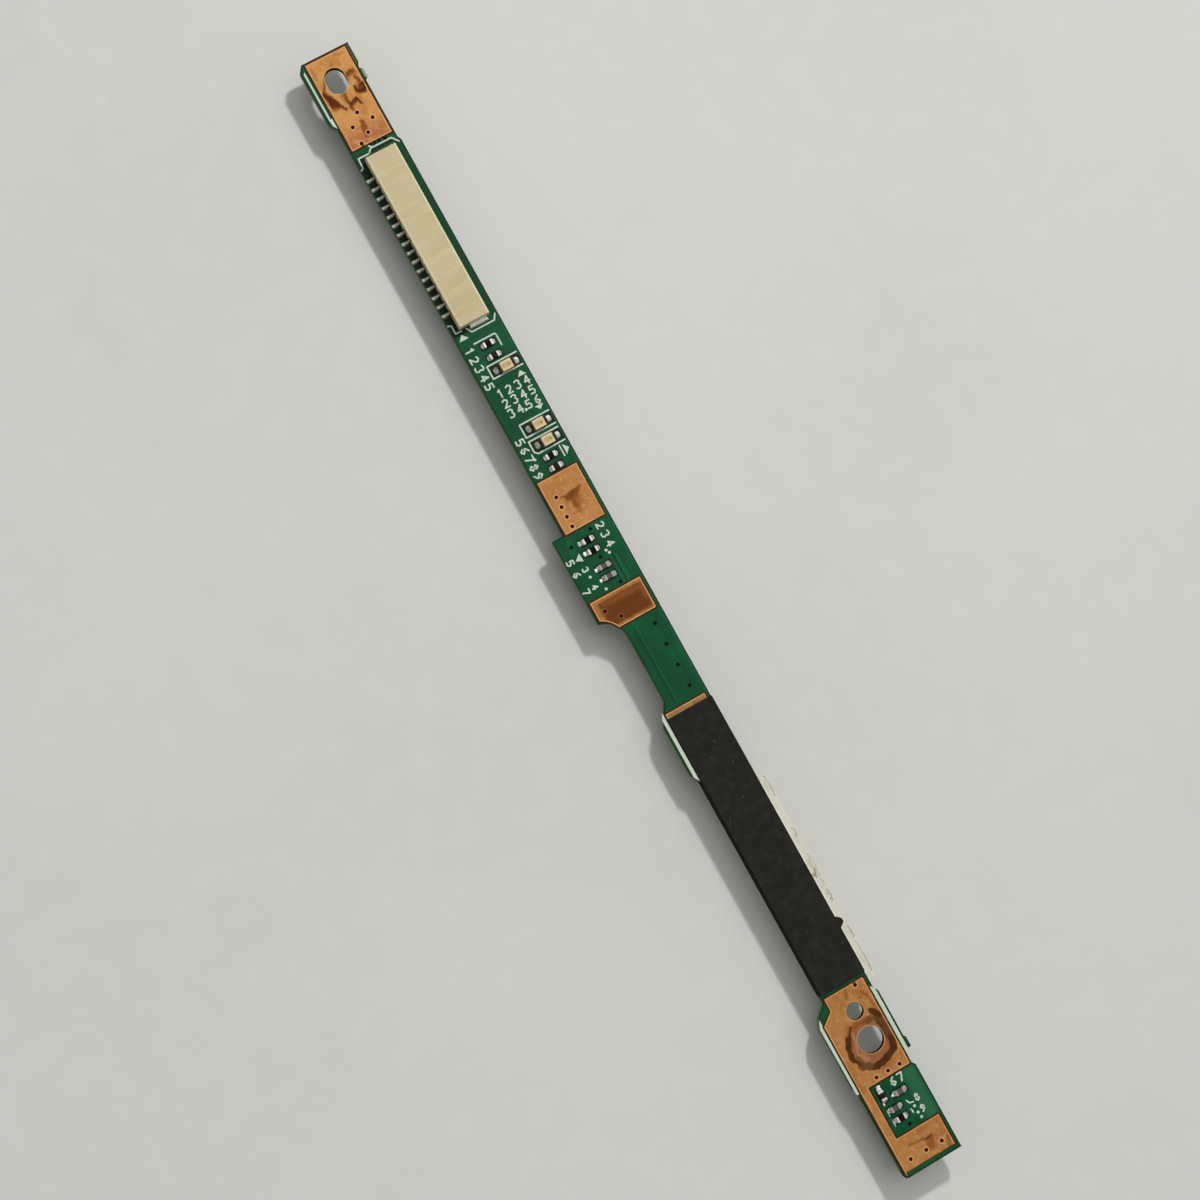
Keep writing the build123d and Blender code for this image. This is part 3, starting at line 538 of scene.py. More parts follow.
LAMPS = (1, 2, 3)
carrier = Finish("lamp_carrier", rgb(160, 150, 116), 0.5, Specular_IOR_Level=0.2)
carrier.coat(carrier.ends("Y", 0.36), rgb(30, 24, 10))
dress(named("led_base_"), carrier)
for number in LAMPS:
    resin = Finish(f"lamp_lens_{number}", rgb(206, 190, 148), 0.4, Specular_IOR_Level=0.3)
    resin.shader.inputs["Subsurface Weight"].default_value = 0.15
    resin.shader.inputs["Subsurface Radius"].default_value = (0.0006, 0.0005, 0.0003)
    x, y, *_ = middle(f"led_lens_{number}")
    resin.mottle(2.2, rgb(190, 170, 126), 0.45, 0.75, 0.6)
    resin.strokes([(x, y - 0.25, x, y + 0.2, 0.26, 0.7)], rgb(166, 138, 84), soft=0.16)
    resin.strokes([(x + 0.02, y + 0.24, x + 0.03, y + 0.25, 0.09, 0.85)], rgb(112, 78, 30), soft=0.05)
    resin.soften(0.05)
    dress(f"led_lens_{number}", resin)

# ---- tape and adhesive strip

tape = Finish("black_tape", rgb(26, 26, 24), 0.8, Specular_IOR_Level=0.13)
tape.mottle(1.2, rgb(37, 36, 33), 0.4, 0.7, 0.8).mottle(7.0, rgb(22, 22, 21), 0.5, 0.8, 0.5)
tape_scratches = [
    (76.8, 0.5, 76.85, 0.5, 0.07, 0.8),
    (79.4, 1.1, 79.42, 1.15, 0.07, 0.7),
    (78.0, -0.5, 78.1, -0.5, 0.06, 0.6),
    (78.4, -1.0, 78.42, -1.0, 0.06, 0.6),
    (82.8, 0.3, 82.9, 0.35, 0.06, 0.6),
    (83.9, -1.85, 84.3, -1.95, 0.03, 0.6),
    (84.3, -1.95, 84.6, -2.2, 0.03, 0.6),
    (90.6, 0.9, 90.8, 0.8, 0.04, 0.4),
    (97.2, -0.6, 97.3, -0.7, 0.05, 0.4),
]
tape.strokes(tape_scratches, rgb(74, 72, 66), soft=0.03)
tape.bump(tape.cloud(1.1, detail=5), 0.35, 0.12).bump(tape.cloud(12.0), 0.2, 0.02)
dress("insulating_tape", tape)

film = Finish("adhesive_film", rgb(218, 215, 200), 0.5, Alpha=0.8)
film.mottle(0.6, rgb(196, 190, 168), 0.45, 0.75, 0.8).mottle(2.0, rgb(220, 218, 206), 0.5, 0.75, 0.7)
film.strokes([(82.5, 2.64, 103.6, 2.64, 0.1, 0.8)], rgb(236, 234, 226), soft=0.08)
film_stain = [(92.5, 3.15, 93.2, 2.95, 0.12, 0.7), (92.9, 3.0, 93.0, 2.75, 0.16, 0.8)]
film.strokes(film_stain, rgb(150, 122, 88), film.warped(0.1, 3), 0.12)
dress("adhesive_strip", film)

# ---- underside parts

camera_black = Finish("camera_black", rgb(30, 30, 30), 0.45)
camera_black.mottle(3.0, rgb(40, 40, 39), 0.45, 0.75, 0.7)
camera_black.soften(0.06).bump(camera_black.cloud(14.0), 0.25, 0.015)
dress(["lens_holder", "lens_barrel"], camera_black)
glass = Finish("optical_glass", rgb(58, 66, 92), 0.04, Coat_Weight=1.0, Coat_Roughness=0.02, IOR=1.5)
glass.coat(glass.step(glass.generated("Z"), 0.0, 1.0), rgb(26, 22, 44))
dress("front_lens", glass)
filter_glass = Finish("filter_glass", rgb(120, 190, 196), 0.05, IOR=1.5, Transmission_Weight=0.7)
dress("infrared_filter", filter_glass)
sensor = Finish("sensor_package", rgb(24, 26, 30), 0.2, Coat_Weight=0.6)
sensor.mottle(1.0, rgb(44, 34, 60), 0.4, 0.7, 0.6)
dress("image_sensor", sensor)
chip_black = Finish("chip_black", rgb(34, 35, 36), 0.5)
chip_black.mottle(5.0, rgb(44, 45, 46), 0.45, 0.75, 0.6)
chip_black.soften(0.05).bump(chip_black.cloud(16.0), 0.3, 0.01)
dress(["image_processor", "flash_memory"], chip_black)
REGULATOR_HALF = 0.8
regulator = Finish("regulator_body", rgb(34, 35, 36), 0.5)
*_, regulator_deep = middle("regulator")
legs = regulator.ends("Y", REGULATOR_HALF / regulator_deep)
regulator.coat(legs, rgb(212, 211, 205))
regulator.feed("Metallic", regulator.math("MULTIPLY", legs, 0.85))
regulator.soften(0.04)
dress("regulator", regulator)
can = Finish("crystal_can", rgb(202, 198, 188), 0.28, 0.9)
can.roughen(5.0, 0.22, 0.4).soften(0.06)
ceramic_base = can.step(can.generated("Z"), 0.55, 0.6)
can.coat(ceramic_base, rgb(196, 190, 176))
dress("crystal", can)
mic = Finish("microphone_can", rgb(206, 190, 142), 0.3, 0.85)
mic.mottle(2.0, rgb(186, 168, 118), 0.45, 0.75, 0.5).soften(0.06)
dress(["microphone_left", "microphone_right"], mic)
rubber = Finish("boot_rubber", rgb(32, 32, 32), 0.75)
rubber.mottle(4.0, rgb(42, 42, 41), 0.5, 0.8, 0.6)
rubber.soften(0.1).bump(rubber.cloud(10.0), 0.3, 0.02)
dress(named("microphone_boot_"), rubber)

# ---- small shapes


def piece(name, bm, finish, smooth=False):
    """Turns a bmesh in frame metres into a piece that rides on the board."""
    bmesh.ops.recalc_face_normals(bm, faces=bm.faces)
    mesh = bpy.data.meshes.new(name)
    bm.to_mesh(mesh)
    bm.free()
    if smooth:
        mesh.polygons.foreach_set("use_smooth", [True] * len(mesh.polygons))
    obj = bpy.data.objects.new(name, mesh)
    bpy.context.scene.collection.objects.link(obj)
    mesh.materials.append(finish.material)
    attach(obj, "root")


def level(bm, outline, z):
    """New corners over an outline of board points, all at one height."""
    return [bm.verts.new(at(x, y, z)) for x, y in outline]


def skin(bm, first, second, closed=True):
    """Faces between two rows of corners."""
    count = len(first)
    for i in range(count if closed else count - 1):
        j = (i + 1) % count
        bm.faces.new((first[i], first[j], second[j], second[i]))


def prism(bm, outline, low, high):
    """A flat plate over an outline of board points."""
    bottom, top = level(bm, outline, low), level(bm, outline, high)
    bm.faces.new(top)
    bm.faces.new(list(reversed(bottom)))
    skin(bm, bottom, top)


def rect(x0, y0, x1, y1):
    return [(x0, y0), (x1, y0), (x1, y1), (x0, y1)]


def around(x, y, reach_x, reach_y):
    """Rectangle round a middle, from half its width and depth."""
    return rect(x - reach_x, y - reach_y, x + reach_x, y + reach_y)


def disc(x, y, radius, corners=20):
    ways = [2 * math.pi * i / corners for i in range(corners)]
    return [(x + radius * math.cos(way), y + radius * math.sin(way)) for way in ways]


def stadium(start, end, width, corners=5):
    """Outline of a stroke with round ends."""
    along = math.atan2(end[1] - start[1], end[0] - start[0])
    points = []
    for (x, y), turn in ((end, -math.pi / 2), (start, math.pi / 2)):
        for i in range(corners + 1):
            way = along + turn + math.pi * i / corners
            points.append((x + width / 2 * math.cos(way), y + width / 2 * math.sin(way)))
    return points


def line(bm, points, width, low, high, closed=False):
    """A printed line through points, whose neighbouring stretches differ by a hair in thickness."""
    hair = 0.0006
    points = list(points) + ([points[0]] if closed else [])
    for i, (start, end) in enumerate(zip(points, points[1:])):
        lift = hair * (i % 4)
        prism(bm, stadium(start, end, width), low - lift, high + lift)


def ring(bm, x, y, inner, outer, low, high, corners=24):
    """A flat washer."""
    section = ((inner, low), (inner, high), (outer, high), (outer, low))
    rows = [level(bm, disc(x, y, radius, corners), z) for radius, z in section]
    for first, second in zip(rows, rows[1:] + rows[:1]):
        skin(bm, first, second)


def swung(x, y, turn, along, aside):
    """The point that lies along and aside of (x, y), where along points at turn degrees."""
    cos, sin = math.cos(math.radians(turn)), math.sin(math.radians(turn))
    return x + along * cos - aside * sin, y + along * sin + aside * cos


def fillet(bm, x, y, turn, width, height, reach, base, sign=1, steps=6, columns=4):
    """Solder that runs from an upright end face at (x, y) down to its pad, out along turn in degrees."""
    rows = []
    for i in range(steps + 1):
        t = i / steps
        spread = width / 2 * (1 + 0.12 * math.sin(math.pi * t)) * math.sqrt(max(1 - (t * 0.82) ** 4, 0))
        row = []
        for j in range(-columns, columns + 1):
            s = j / columns
            out, side = reach * t * (1 - 0.12 * s * s), spread * s
            rise = height * (1 - t) ** 1.5 * (1 - 0.5 * abs(s) ** 3)
            rise *= 0.94 + 0.12 * noise.noise(Vector((x + out, y + side, 0)) * 4)
            corner = swung(x, y, turn, out, side)
            row.append(bm.verts.new(at(*corner, base + sign * max(rise, 0.004))))
        rows.append(row)
    for first, second in zip(rows, rows[1:]):
        skin(bm, first, second, closed=False)
    far = rows[-1][:-1]
    right, left = [row[-1] for row in rows[1:]], [row[0] for row in rows[1:-1]]
    edge = rows[0] + right + far[::-1] + left[::-1]
    foot = [bm.verts.new(Vector((corner.co.x, corner.co.y, base / 1000))) for corner in edge]
    skin(bm, edge, foot)


def dome(bm, x, y, across, along, height, base, turn=0.0, sign=1, rings=4, corners=16):
    """A small rounded blob of solder, print or dirt."""
    rows = []
    for k in range(rings):
        climb = math.pi / 2 * k / rings
        row = []
        for i in range(corners):
            way = 2 * math.pi * i / corners
            wobble = 1 + 0.12 * noise.noise(Vector((x + math.cos(way), y + math.sin(way), 1.7)) * 1.5)
            reach = math.cos(climb) * wobble
            corner = swung(x, y, turn, across * reach * math.cos(way), along * reach * math.sin(way))
            row.append(bm.verts.new(at(*corner, base + sign * height * math.sin(climb))))
        rows.append(row)
    for first, second in zip(rows, rows[1:]):
        skin(bm, first, second)
    peak = bm.verts.new(at(x, y, base + sign * height))
    last = rows[-1]
    for i in range(corners):
        bm.faces.new((last[i], last[(i + 1) % corners], peak))


def span(points):
    """Length of an outline along the board."""
    places = [x for x, _ in points]
    return max(places) - min(places)


def loops(name):
    """Closed boundaries of a CAD node's top face, as lists of board points, the outer one first."""
    bm = bmesh.new()
    bm.from_mesh(nodes[name].data)
    bmesh.ops.remove_doubles(bm, verts=bm.verts, dist=1e-7)
    bm.normal_update()
    height = max(v.co.z for v in bm.verts)
    tops = {f for f in bm.faces if all(abs(v.co.z - height) < 1e-6 for v in f.verts)}
    edges = [e for e in bm.edges if sum(f in tops for f in e.link_faces) == 1]
    found = []
    while edges:
        first, current = edges.pop(0).verts
        loop = [first, current]
        while current != first:
            following = next((e for e in current.link_edges if e in edges), None)
            if following is None:
                break
            edges.remove(following)
            current = following.other_vert(current)
            if current != first:
                loop.append(current)
        found.append([(v.co.x * 1000 - ZERO_X, v.co.y * 1000 - ZERO_Y) for v in loop])
    bm.free()
    return sorted(found, key=span, reverse=True)


def turned(points):
    """The points in counter-clockwise order."""
    area = sum(a[0] * b[1] - b[0] * a[1] for a, b in zip(points, points[1:] + points[:1]))
    return points if area > 0 else list(reversed(points))


def offset(points, amount):
    """A closed counter-clockwise outline moved outwards."""
    moved = []
    count = len(points)
    for i in range(count):
        before, here, after = (Vector(points[(i + k) % count]) for k in (-1, 0, 1))
        first, second = (here - before).normalized(), (after - here).normalized()
        normal = Vector((first.y + second.y, -first.x - second.x))
        if normal.length < 1e-6:
            normal = Vector((first.y, -first.x))
        normal.normalize()
        share = max(normal.dot(Vector((first.y, -first.x))), 0.4)
        moved.append(tuple(here + normal * (amount / share)))
    return moved


def band(bm, points, inward, outward, low, high):
    """A strip that follows a closed outline, from inward to outward of it, open below."""
    points = turned(points)
    inner, outer = offset(points, -inward), offset(points, outward)
    section = ((inner, low), (inner, high), (outer, high), (outer, low))
    rows = [level(bm, outline, z) for outline, z in section]
    for first, second in zip(rows, rows[1:]):
        skin(bm, first, second)


# ---- copper edges, vias and the board's rim

LANDS = ("connector_end_land", "centre_land", "camera_land", "taped_land", "screw_end_land")
EDGE_TOP = LAND_TOP + 0.006
LARGEST_VIA = 0.6
VIA_RADIUS, VIA_CORNERS, VIA_BOTTOM = 0.2, 12, UNDER + 0.3

# Dark rims round the lands: mask over the copper's edge, partly painted shade of the step
land_rim_shade_finish = Finish("mask_step_and_shade", rgb(52, 34, 8), 0.6, Specular_IOR_Level=0.1)
land_rim_shade_finish.mottle(1.5, rgb(20, 38, 14), 0.45, 0.7, 0.6)
# Pale bands along the land edges and round the large holes: brighter copper, partly painted highlight
land_edge_highlight_finish = Finish("land_edge", rgb(202, 150, 98), 0.5, 0.1, Specular_IOR_Level=0.2)
land_edge_highlight_finish.mottle(1.2, rgb(172, 116, 68), 0.4, 0.7, 0.8)
# Painted shade: dark discs down in the via holes
via_hole_shade = Finish("via_shade", rgb(46, 12, 5), 0.7, Specular_IOR_Level=0.06)
masked_hole = Finish("masked_via", rgb(2, 16, 8), 0.6, Specular_IOR_Level=0.05)
via_lip = Finish("via_lip", rgb(206, 152, 102), 0.5, 0.1, Specular_IOR_Level=0.2)
via_lip.coat(via_lip.patch(59.0, 63.0, -4.0, 2.5, 0.01), rgb(128, 78, 38))

rims, lips, edges, shade_discs, masked, lap = (bmesh.new() for _ in range(6))
for land in LANDS:
    outline, *holes = loops(land)
    band(rims, outline, 0.02, 0.17, TOP, TOP + 0.03)
    # Dark rim with painted shade outside each land, pale band with painted highlight inside it
    band(edges, outline, 0.1, -0.01, LAND_TOP, EDGE_TOP)
    for hole in holes:
        if span(hole) < LARGEST_VIA:
            x, y = (sum(places) / len(hole) for places in zip(*hole))
            ring(lips, x, y, VIA_RADIUS + 0.01, VIA_RADIUS + 0.1, LAND_TOP - 0.005, EDGE_TOP)
            # A dark disc of painted shade down in the via hole
            prism(shade_discs, disc(x, y, VIA_RADIUS, VIA_CORNERS), VIA_BOTTOM, LAND_TOP - 0.012)
        else:
            band(edges, hole, 0.01, 0.05, LAND_TOP, EDGE_TOP)
# The mask laps over the right edge of the screw end land
prism(lap, rect(122.29, -3.64, 122.6, 2.04), LAND_TOP, LAND_TOP + 0.009)
prism(rims, rect(122.21, -3.6, 122.3, 2.0), LAND_TOP, LAND_TOP + 0.007)

neck_vias = [(67.45 + (i - 1.5) * 2.3, 1.06) for i in range(4)]
for x, y in [(118.35, -0.95), *neck_vias]:
    prism(masked, disc(x, y, VIA_RADIUS, VIA_CORNERS), VIA_BOTTOM, TOP - 0.01)
# Vias that the mask covers: x, y, radius
covered_vias = [(52.95, 0.0, 0.19), (55.8, -0.45, 0.19), (58.85, 0.1, 0.19), (53.65, -2.5, 0.19)]
covered_vias += [(9.98, 1.05, 0.22), (9.96, 0.4, 0.16), (9.95, -0.08, 0.13), (9.88, -0.5, 0.14)]
for x, y, radius in covered_vias:
    prism(masked, disc(x, y, radius, VIA_CORNERS), TOP, TOP + 0.034)

rim_green = Finish("mask_rim", rgb(4, 36, 18), 0.5, Specular_IOR_Level=0.1)
rim_tones = [
    (*taped_stretch, -3.0, 3.4, 0.01, tape_black, 1.0),
    (-0.1, 0.16, -2.6, 2.2, 0.04, rgb(100, 70, 44), 0.9),
    (4.2, 10.1, 1.9, 2.6, 0.1, rgb(52, 42, 20), 0.9),
    (2.7, 4.4, 2.3, 2.9, 0.1, rgb(150, 164, 142), 0.9),
]
rim_green.patches(rim_tones)
rim = bmesh.new()
band(rim, loops("board")[0], 0.13, -0.01, TOP, TOP + 0.004)

piece("mask_lap", lap, green_mask)
piece("land_rims", rims, land_rim_shade_finish)
piece("land_edge_highlights", edges, land_edge_highlight_finish)
piece("via_lips", lips, via_lip)
piece("via_shade_discs", shade_discs, via_hole_shade)
piece("masked_vias", masked, masked_hole)
piece("board_rim", rim, rim_green)

# ---- printed marks

PRINT_WIDTH, PRINT_THICK = 0.15, 0.014
INK, UNDER_INK = (TOP, TOP + PRINT_THICK), (UNDER - PRINT_THICK, UNDER)

silk = Finish("white_print", rgb(188, 200, 184), 0.6, Specular_IOR_Level=0.2)
silk.mottle(4.0, rgb(142, 164, 144), 0.5, 0.8, 0.5)
ink = bmesh.new()
bars = (
    [(0.75, -2.74), (6.0, -2.74), (6.0, -2.5), (7.25, -2.5), (6.7, -2.86), (6.0, -2.93), (0.95, -2.93)],
    [(71.9, -2.62), (79.5, -2.62), (78.9, -2.97), (72.6, -2.97)],
    [(105.2, -3.78), (113.5, -3.78), (113.3, -4.15), (106.1, -4.18)],
    [(104.9, 2.14), (112.6, 2.14), (112.0, 2.5), (105.3, 2.52)],
)
printed_lines = (
    [(10.9, 2.1), (10.25, 1.6), (10.25, -0.7), (10.55, -0.95)],
    [(10.65, -1.1), (10.65, -2.25), (11.7, -2.3), (11.8, -2.55)],
    [(30.1, 2.1), (30.65, 1.75), (30.65, -0.75), (30.1, -1.1)],
    [(30.1, -1.6), (30.1, -2.25), (29.2, -2.25), (29.1, -2.55)],
    [(33.1, 1.2), (32.0, 1.2), (31.8, 1.1), (31.8, -1.15)],
    [(34.35, 2.1), (34.35, -1.15), (35.7, -1.15), (35.7, 2.1)],
    [(40.85, 2.1), (40.85, -1.15), (42.25, -1.15), (42.25, 2.1)],
    [(42.7, 2.1), (42.7, -1.15), (43.85, -1.15), (44.12, -0.85), (44.12, 2.1)],
    [(44.4, 1.32), (45.5, 1.32)],
    [(10.2, -0.55), (9.88, -0.8)],
)
arrows = (
    [(30.42, -1.82), (31.02, -1.3), (31.02, -2.32)],
    [(36.1, 1.5), (36.65, 1.95), (36.65, 1.05)],
    [(40.42, 1.5), (39.95, 1.98), (39.95, 1.05)],
    [(44.4, 1.6), (45.5, 1.6), (44.95, 2.1)],
    [(54.5, -2.15), (55.4, -2.1), (55.05, -2.8)],
)
# Plain digits, each within a box about 0.6 wide and 1 high
digits = {
    "1": [(0.1, 0.8), (0.33, 1), (0.33, 0)],
    "2": [(0, 0.85), (0.3, 1), (0.58, 0.8), (0.5, 0.5), (0, 0), (0.62, 0)],
    "3": [(0, 0.92), (0.18, 1), (0.44, 1), (0.58, 0.82), (0.44, 0.55)]
    + [(0.6, 0.3), (0.46, 0.03), (0.16, 0), (0, 0.1)],
    "4": [(0.46, 0), (0.46, 1), (0, 0.34), (0.64, 0.34)],
    "5": [(0.58, 1), (0.06, 1), (0.03, 0.55), (0.4, 0.6), (0.6, 0.35), (0.45, 0.03), (0, 0.06)],
    "6": [(0.5, 1), (0.12, 0.7), (0.02, 0.3), (0.3, 0), (0.58, 0.28), (0.3, 0.52), (0.06, 0.4)],
    "7": [(0, 1), (0.62, 1), (0.22, 0)],
    "8": [(0.3, 0.53), (0.06, 0.76), (0.3, 1), (0.54, 0.76), (0.3, 0.53)]
    + [(0.02, 0.26), (0.3, 0), (0.58, 0.26), (0.3, 0.53)],
    "9": [(0.1, 0), (0.48, 0.3), (0.58, 0.7), (0.3, 1), (0.02, 0.72), (0.3, 0.48), (0.54, 0.6)],
}
dots = [(39.8, 0.2), (44.5, -1.45), (55.5, 0.35), (55.85, 0.52), (57.05, -2.3), (58.8, -1.5)]
dots += [(117.1, 0.3), (117.8, 0.3), (118.35, 0.4)]


def write(word, x, y, height, advance, turn=0.0):
    """Prints digits from (x, y), with turn in degrees."""
    for k, digit in enumerate(word):
        points = [swung(x, y, turn, k * advance + u * height, v * height) for u, v in digits[digit]]
        line(ink, points, PRINT_WIDTH + 0.005, *INK)


for outline in bars:
    prism(ink, outline, *INK)
for points in printed_lines:
    line(ink, points, PRINT_WIDTH, *INK)
for outline in arrows:
    prism(ink, turned(outline), *INK)
write("12345", 32.0, -2.3, 0.82, 0.98)
write("56789", 42.1, -2.32, 0.82, 0.93)
write("234", 52.85, 0.66, 0.76, 1.0)
for x, word in ((37.65, "1234"), (38.75, "2345"), (39.85, "3456")):
    write(word, x, -1.5, 0.8, 0.97, 90)
for x, upper, lower in ((54.75, "", "5"), (56.05, "3", "6"), (57.95, "4", "7")):
    write(upper, x, -2.65, 0.55, 1.0)
    write(lower, x, -3.72, 0.7, 1.0)
write("67", 114.4, -0.62, 0.8, 0.86, 90)
write("8", 116.8, 0.72, 0.66, 0.6, 90)
write("9", 118.0, 0.72, 0.66, 0.6, 90)
line(ink, [(116.25, -0.15), (116.6, 0.0), (116.7, 0.4)], PRINT_WIDTH - 0.01, *INK)
line(ink, [(117.2, -0.15), (117.6, -0.1)], PRINT_WIDTH - 0.01, *INK)
for x, y in dots:
    prism(ink, disc(x, y, 0.15, 12), INK[0], INK[1] + 0.003)
piece("white_print", ink, silk)

# ---- pads and solder on the top face

COURT_TOP, PAD_TOP = TOP + 0.003, TOP + 0.006

pad_finish = Finish("pad_tin", rgb(104, 100, 84), 0.5, 0.4)
pad_finish.mottle(4.0, rgb(66, 60, 44), 0.45, 0.75, 0.6)
# Painted shade: dark courts round the chips and lamps, and the left tab's solder
court_shade_finish = Finish("court_shade", rgb(8, 20, 11), 0.5, Specular_IOR_Level=0.12)
court_shade_finish.mottle(2.0, rgb(22, 30, 14), 0.4, 0.7, 0.7)
pads, shade_courts, joints, lamp_joints = (bmesh.new() for _ in range(4))

for name in named("resistor_", "capacitor_", "bead_end"):
    x, y, wide, deep = middle(name)
    lying = wide > deep
    half = max(wide, deep) / 2
    reach_x, reach_y = (half + 0.4, 0.42) if lying else (0.42, half + 0.4)
    # Painted shade round each chip
    prism(shade_courts, around(x, y, reach_x, reach_y), TOP, COURT_TOP)
    along = 0 if lying else 90
    for turn in (along - 180, along):
        end_x, end_y = swung(x, y, turn, half, 0)
        fillet(joints, end_x, end_y, turn, 0.5, 0.27, 0.27, TOP)
for number in LAMPS:
    x, y, _, deep = middle(f"led_base_{number}")
    prism(shade_courts, around(x, y, 0.6, deep / 2 + 0.72), TOP, COURT_TOP)
    for side in (-1, 1):
        fillet(lamp_joints, x, y + side * (deep / 2 + 0.03), 90 * side, 0.66, 0.14, 0.48, TOP)
for name in named("contact_"):
    x, y, _, deep = middle(name)
    tail = y - deep / 2
    prism(pads, rect(x - 0.19, tail - 0.06, x + 0.19, tail + 0.6), TOP, PAD_TOP)
    fillet(joints, x, tail + 0.02, -90, 0.28, 0.13, 0.08, TOP)
    fillet(joints, x + 0.11, tail + 0.2, 0, 0.34, 0.12, 0.09, TOP)
# The left tab's pad and fillet are painted shade; the right tab's are solder
for name, side, made in (("connector_tab_left", -1, shade_courts), ("connector_tab_right", 1, joints)):
    x, y, wide, deep = middle(name)
    edge = x + side * wide / 2
    near, far = sorted((edge - side * 0.05, edge + side * 0.1))
    prism(made, rect(near, y - deep / 2 - 0.1, far, y + deep / 2 + 0.1), TOP, PAD_TOP)
    fillet(made, edge - side * 0.02, y, 90 - 90 * side, deep * 0.9, 0.18, 0.1, TOP)
# Extra pads that show beside the chips: x, y, wide, deep
bare_pads = [(53.75, -1.68, 0.5, 0.3), (54.86, -1.68, 0.5, 0.3), (56.8, -1.5, 0.42, 0.3)]
bare_pads += [(57.9, -1.55, 0.42, 0.3), (115.2, -1.1, 0.3, 0.35), (116.45, -2.3, 0.8, 0.12)]
bare_pads += [(117.5, -2.28, 0.8, 0.14), (113.75, -1.95, 0.3, 0.5), (115.5, -2.25, 0.4, 0.2)]
bare_pads += [(117.45, -0.12, 0.5, 0.2)]
for x, y, wide, deep in bare_pads:
    dome(joints, x, y, wide / 2, deep / 2, 0.05, TOP)
piece("solder_court_shade", shade_courts, court_shade_finish)
piece("solder_pads", pads, pad_finish)
piece("solder_joints", joints, solder, smooth=True)
piece("lamp_joints", lamp_joints, dull_solder, smooth=True)

# ---- film edge and loose dirt

grime = Finish("film_grime", rgb(142, 138, 124), 0.6)
grime.mottle(2.0, rgb(176, 170, 152), 0.4, 0.7, 0.8)
dirt = bmesh.new()
random.seed(7)
wrinkles = [(82.2, 84.4), (87.9, 89.0), (90.8, 91.6), (92.4, 93.4)]
wrinkles += [(93.6, 94.3), (94.8, 96.1), (98.9, 100.2), (100.6, 103.9)]
for start, stop in wrinkles:
    y = 3.33 + random.uniform(-0.06, 0.02)
    points = [(start, y - 0.12), (start + 0.2, y), ((start + stop) / 2, y + 0.03), (stop - 0.15, y)]
    points.append((stop, y - random.uniform(0.02, 0.2)))
    line(dirt, points, random.uniform(0.06, 0.09), UNDER - 0.14, UNDER + 0.004)
crumbs = [(88.7, 3.15), (95.2, 3.1), (95.8, 3.15), (99.6, 3.3), (93.2, 2.95), (92.7, 3.1), (103.3, 3.25)]
for x, y in crumbs:
    across, along = random.uniform(0.1, 0.22), random.uniform(0.05, 0.09)
    dome(dirt, x, y, across, along, 0.02, UNDER, random.uniform(-30, 30))
piece("film_grime", dirt, grime)

# ---- underside

under_ink, under_joints, print_dots, thread = (bmesh.new() for _ in range(4))


def solder_below(x, y, turn, width, height, reach, steps=6):
    fillet(under_joints, x, y, turn, width, height, reach, UNDER, sign=-1, steps=steps)


for name, spare in (("image_processor", 0.35), ("flash_memory", 0.3), ("crystal", 0.3)):
    x, y, wide, deep = middle(name)
    outline = around(x, y, wide / 2 + spare, min(deep / 2 + spare, 2.4))
    line(under_ink, outline, PRINT_WIDTH, *UNDER_INK, closed=True)
dome(under_ink, 44.9, -1.9, 0.14, 0.14, PRINT_THICK, UNDER, sign=-1)
for side in (-1, 1):
    for name in named("bypass_capacitor_"):
        x, y, _, deep = middle(name)
        solder_below(x, y + side * deep / 2, 90 * side, 0.5, 0.27, 0.25)
    x, y, wide, deep = middle("image_processor")
    for k in range(9):
        place = -1.6 + 0.4 * k
        solder_below(x + place, y + side * deep / 2, 90 * side, 0.22, 0.16, 0.2, steps=3)
        solder_below(x + side * wide / 2, y + place, 90 - 90 * side, 0.22, 0.16, 0.2, steps=3)
    x, y, _, deep = middle("flash_memory")
    for k in range(4):
        solder_below(x - 0.97 + 0.65 * k, y + side * deep / 2, 90 * side, 0.3, 0.16, 0.25, steps=3)
    x, y, wide, _ = middle("crystal")
    for rise in (-0.75, 0.75):
        solder_below(x + side * wide / 2, y + rise, 90 - 90 * side, 0.7, 0.2, 0.28, steps=4)

# A pin 1 dot on the lower face of each chip
pale_mark = Finish("chip_mark", rgb(120, 120, 116), 0.6)
for name, face in (("image_processor", 2.2), ("flash_memory", 2.4)):
    x, y, wide, deep = middle(name)
    prism(print_dots, disc(x - wide / 2 + 0.45, y - deep / 2 + 0.45, 0.16, 14), face - 0.004, face + 0.01)

# Screw thread that shows between the lens barrel and its holder
THREAD_START, THREAD_PITCH, THREAD_THICK = 0.42, 0.055, 0.025
x, y, barrel_wide, _ = middle("lens_barrel")
for k in range(5):
    low = THREAD_START + THREAD_PITCH * k
    ring(thread, x, y, barrel_wide / 2 - 0.03, barrel_wide / 2 + 0.012, low, low + THREAD_THICK, 40)

piece("underside_print", under_ink, silk)
piece("underside_solder", under_joints, solder, smooth=True)
piece("chip_dots", print_dots, pale_mark)
piece("barrel_thread", thread, camera_black)

# ---- table and room


def blend(tree, share, first, second):
    """Shader that turns from the first into the second by a share."""
    node = tree.nodes.new("ShaderNodeMixShader")
    for socket, source in zip(node.inputs, (share, first, second)):
        tree.links.new(source, socket)
    return node.outputs[0]


FLOOR_HALF, FLOOR_LEVEL = 1.5, -2e-5
floor_finish = Finish("table", rgb(202, 202, 198), 0.8, Specular_IOR_Level=0.1)
floor_finish.mottle(0.02, rgb(198, 198, 194), 0.4, 0.7, 0.8).mottle(0.3, rgb(205, 205, 201), 0.45, 0.7, 0.4)
table = floor_finish.tree
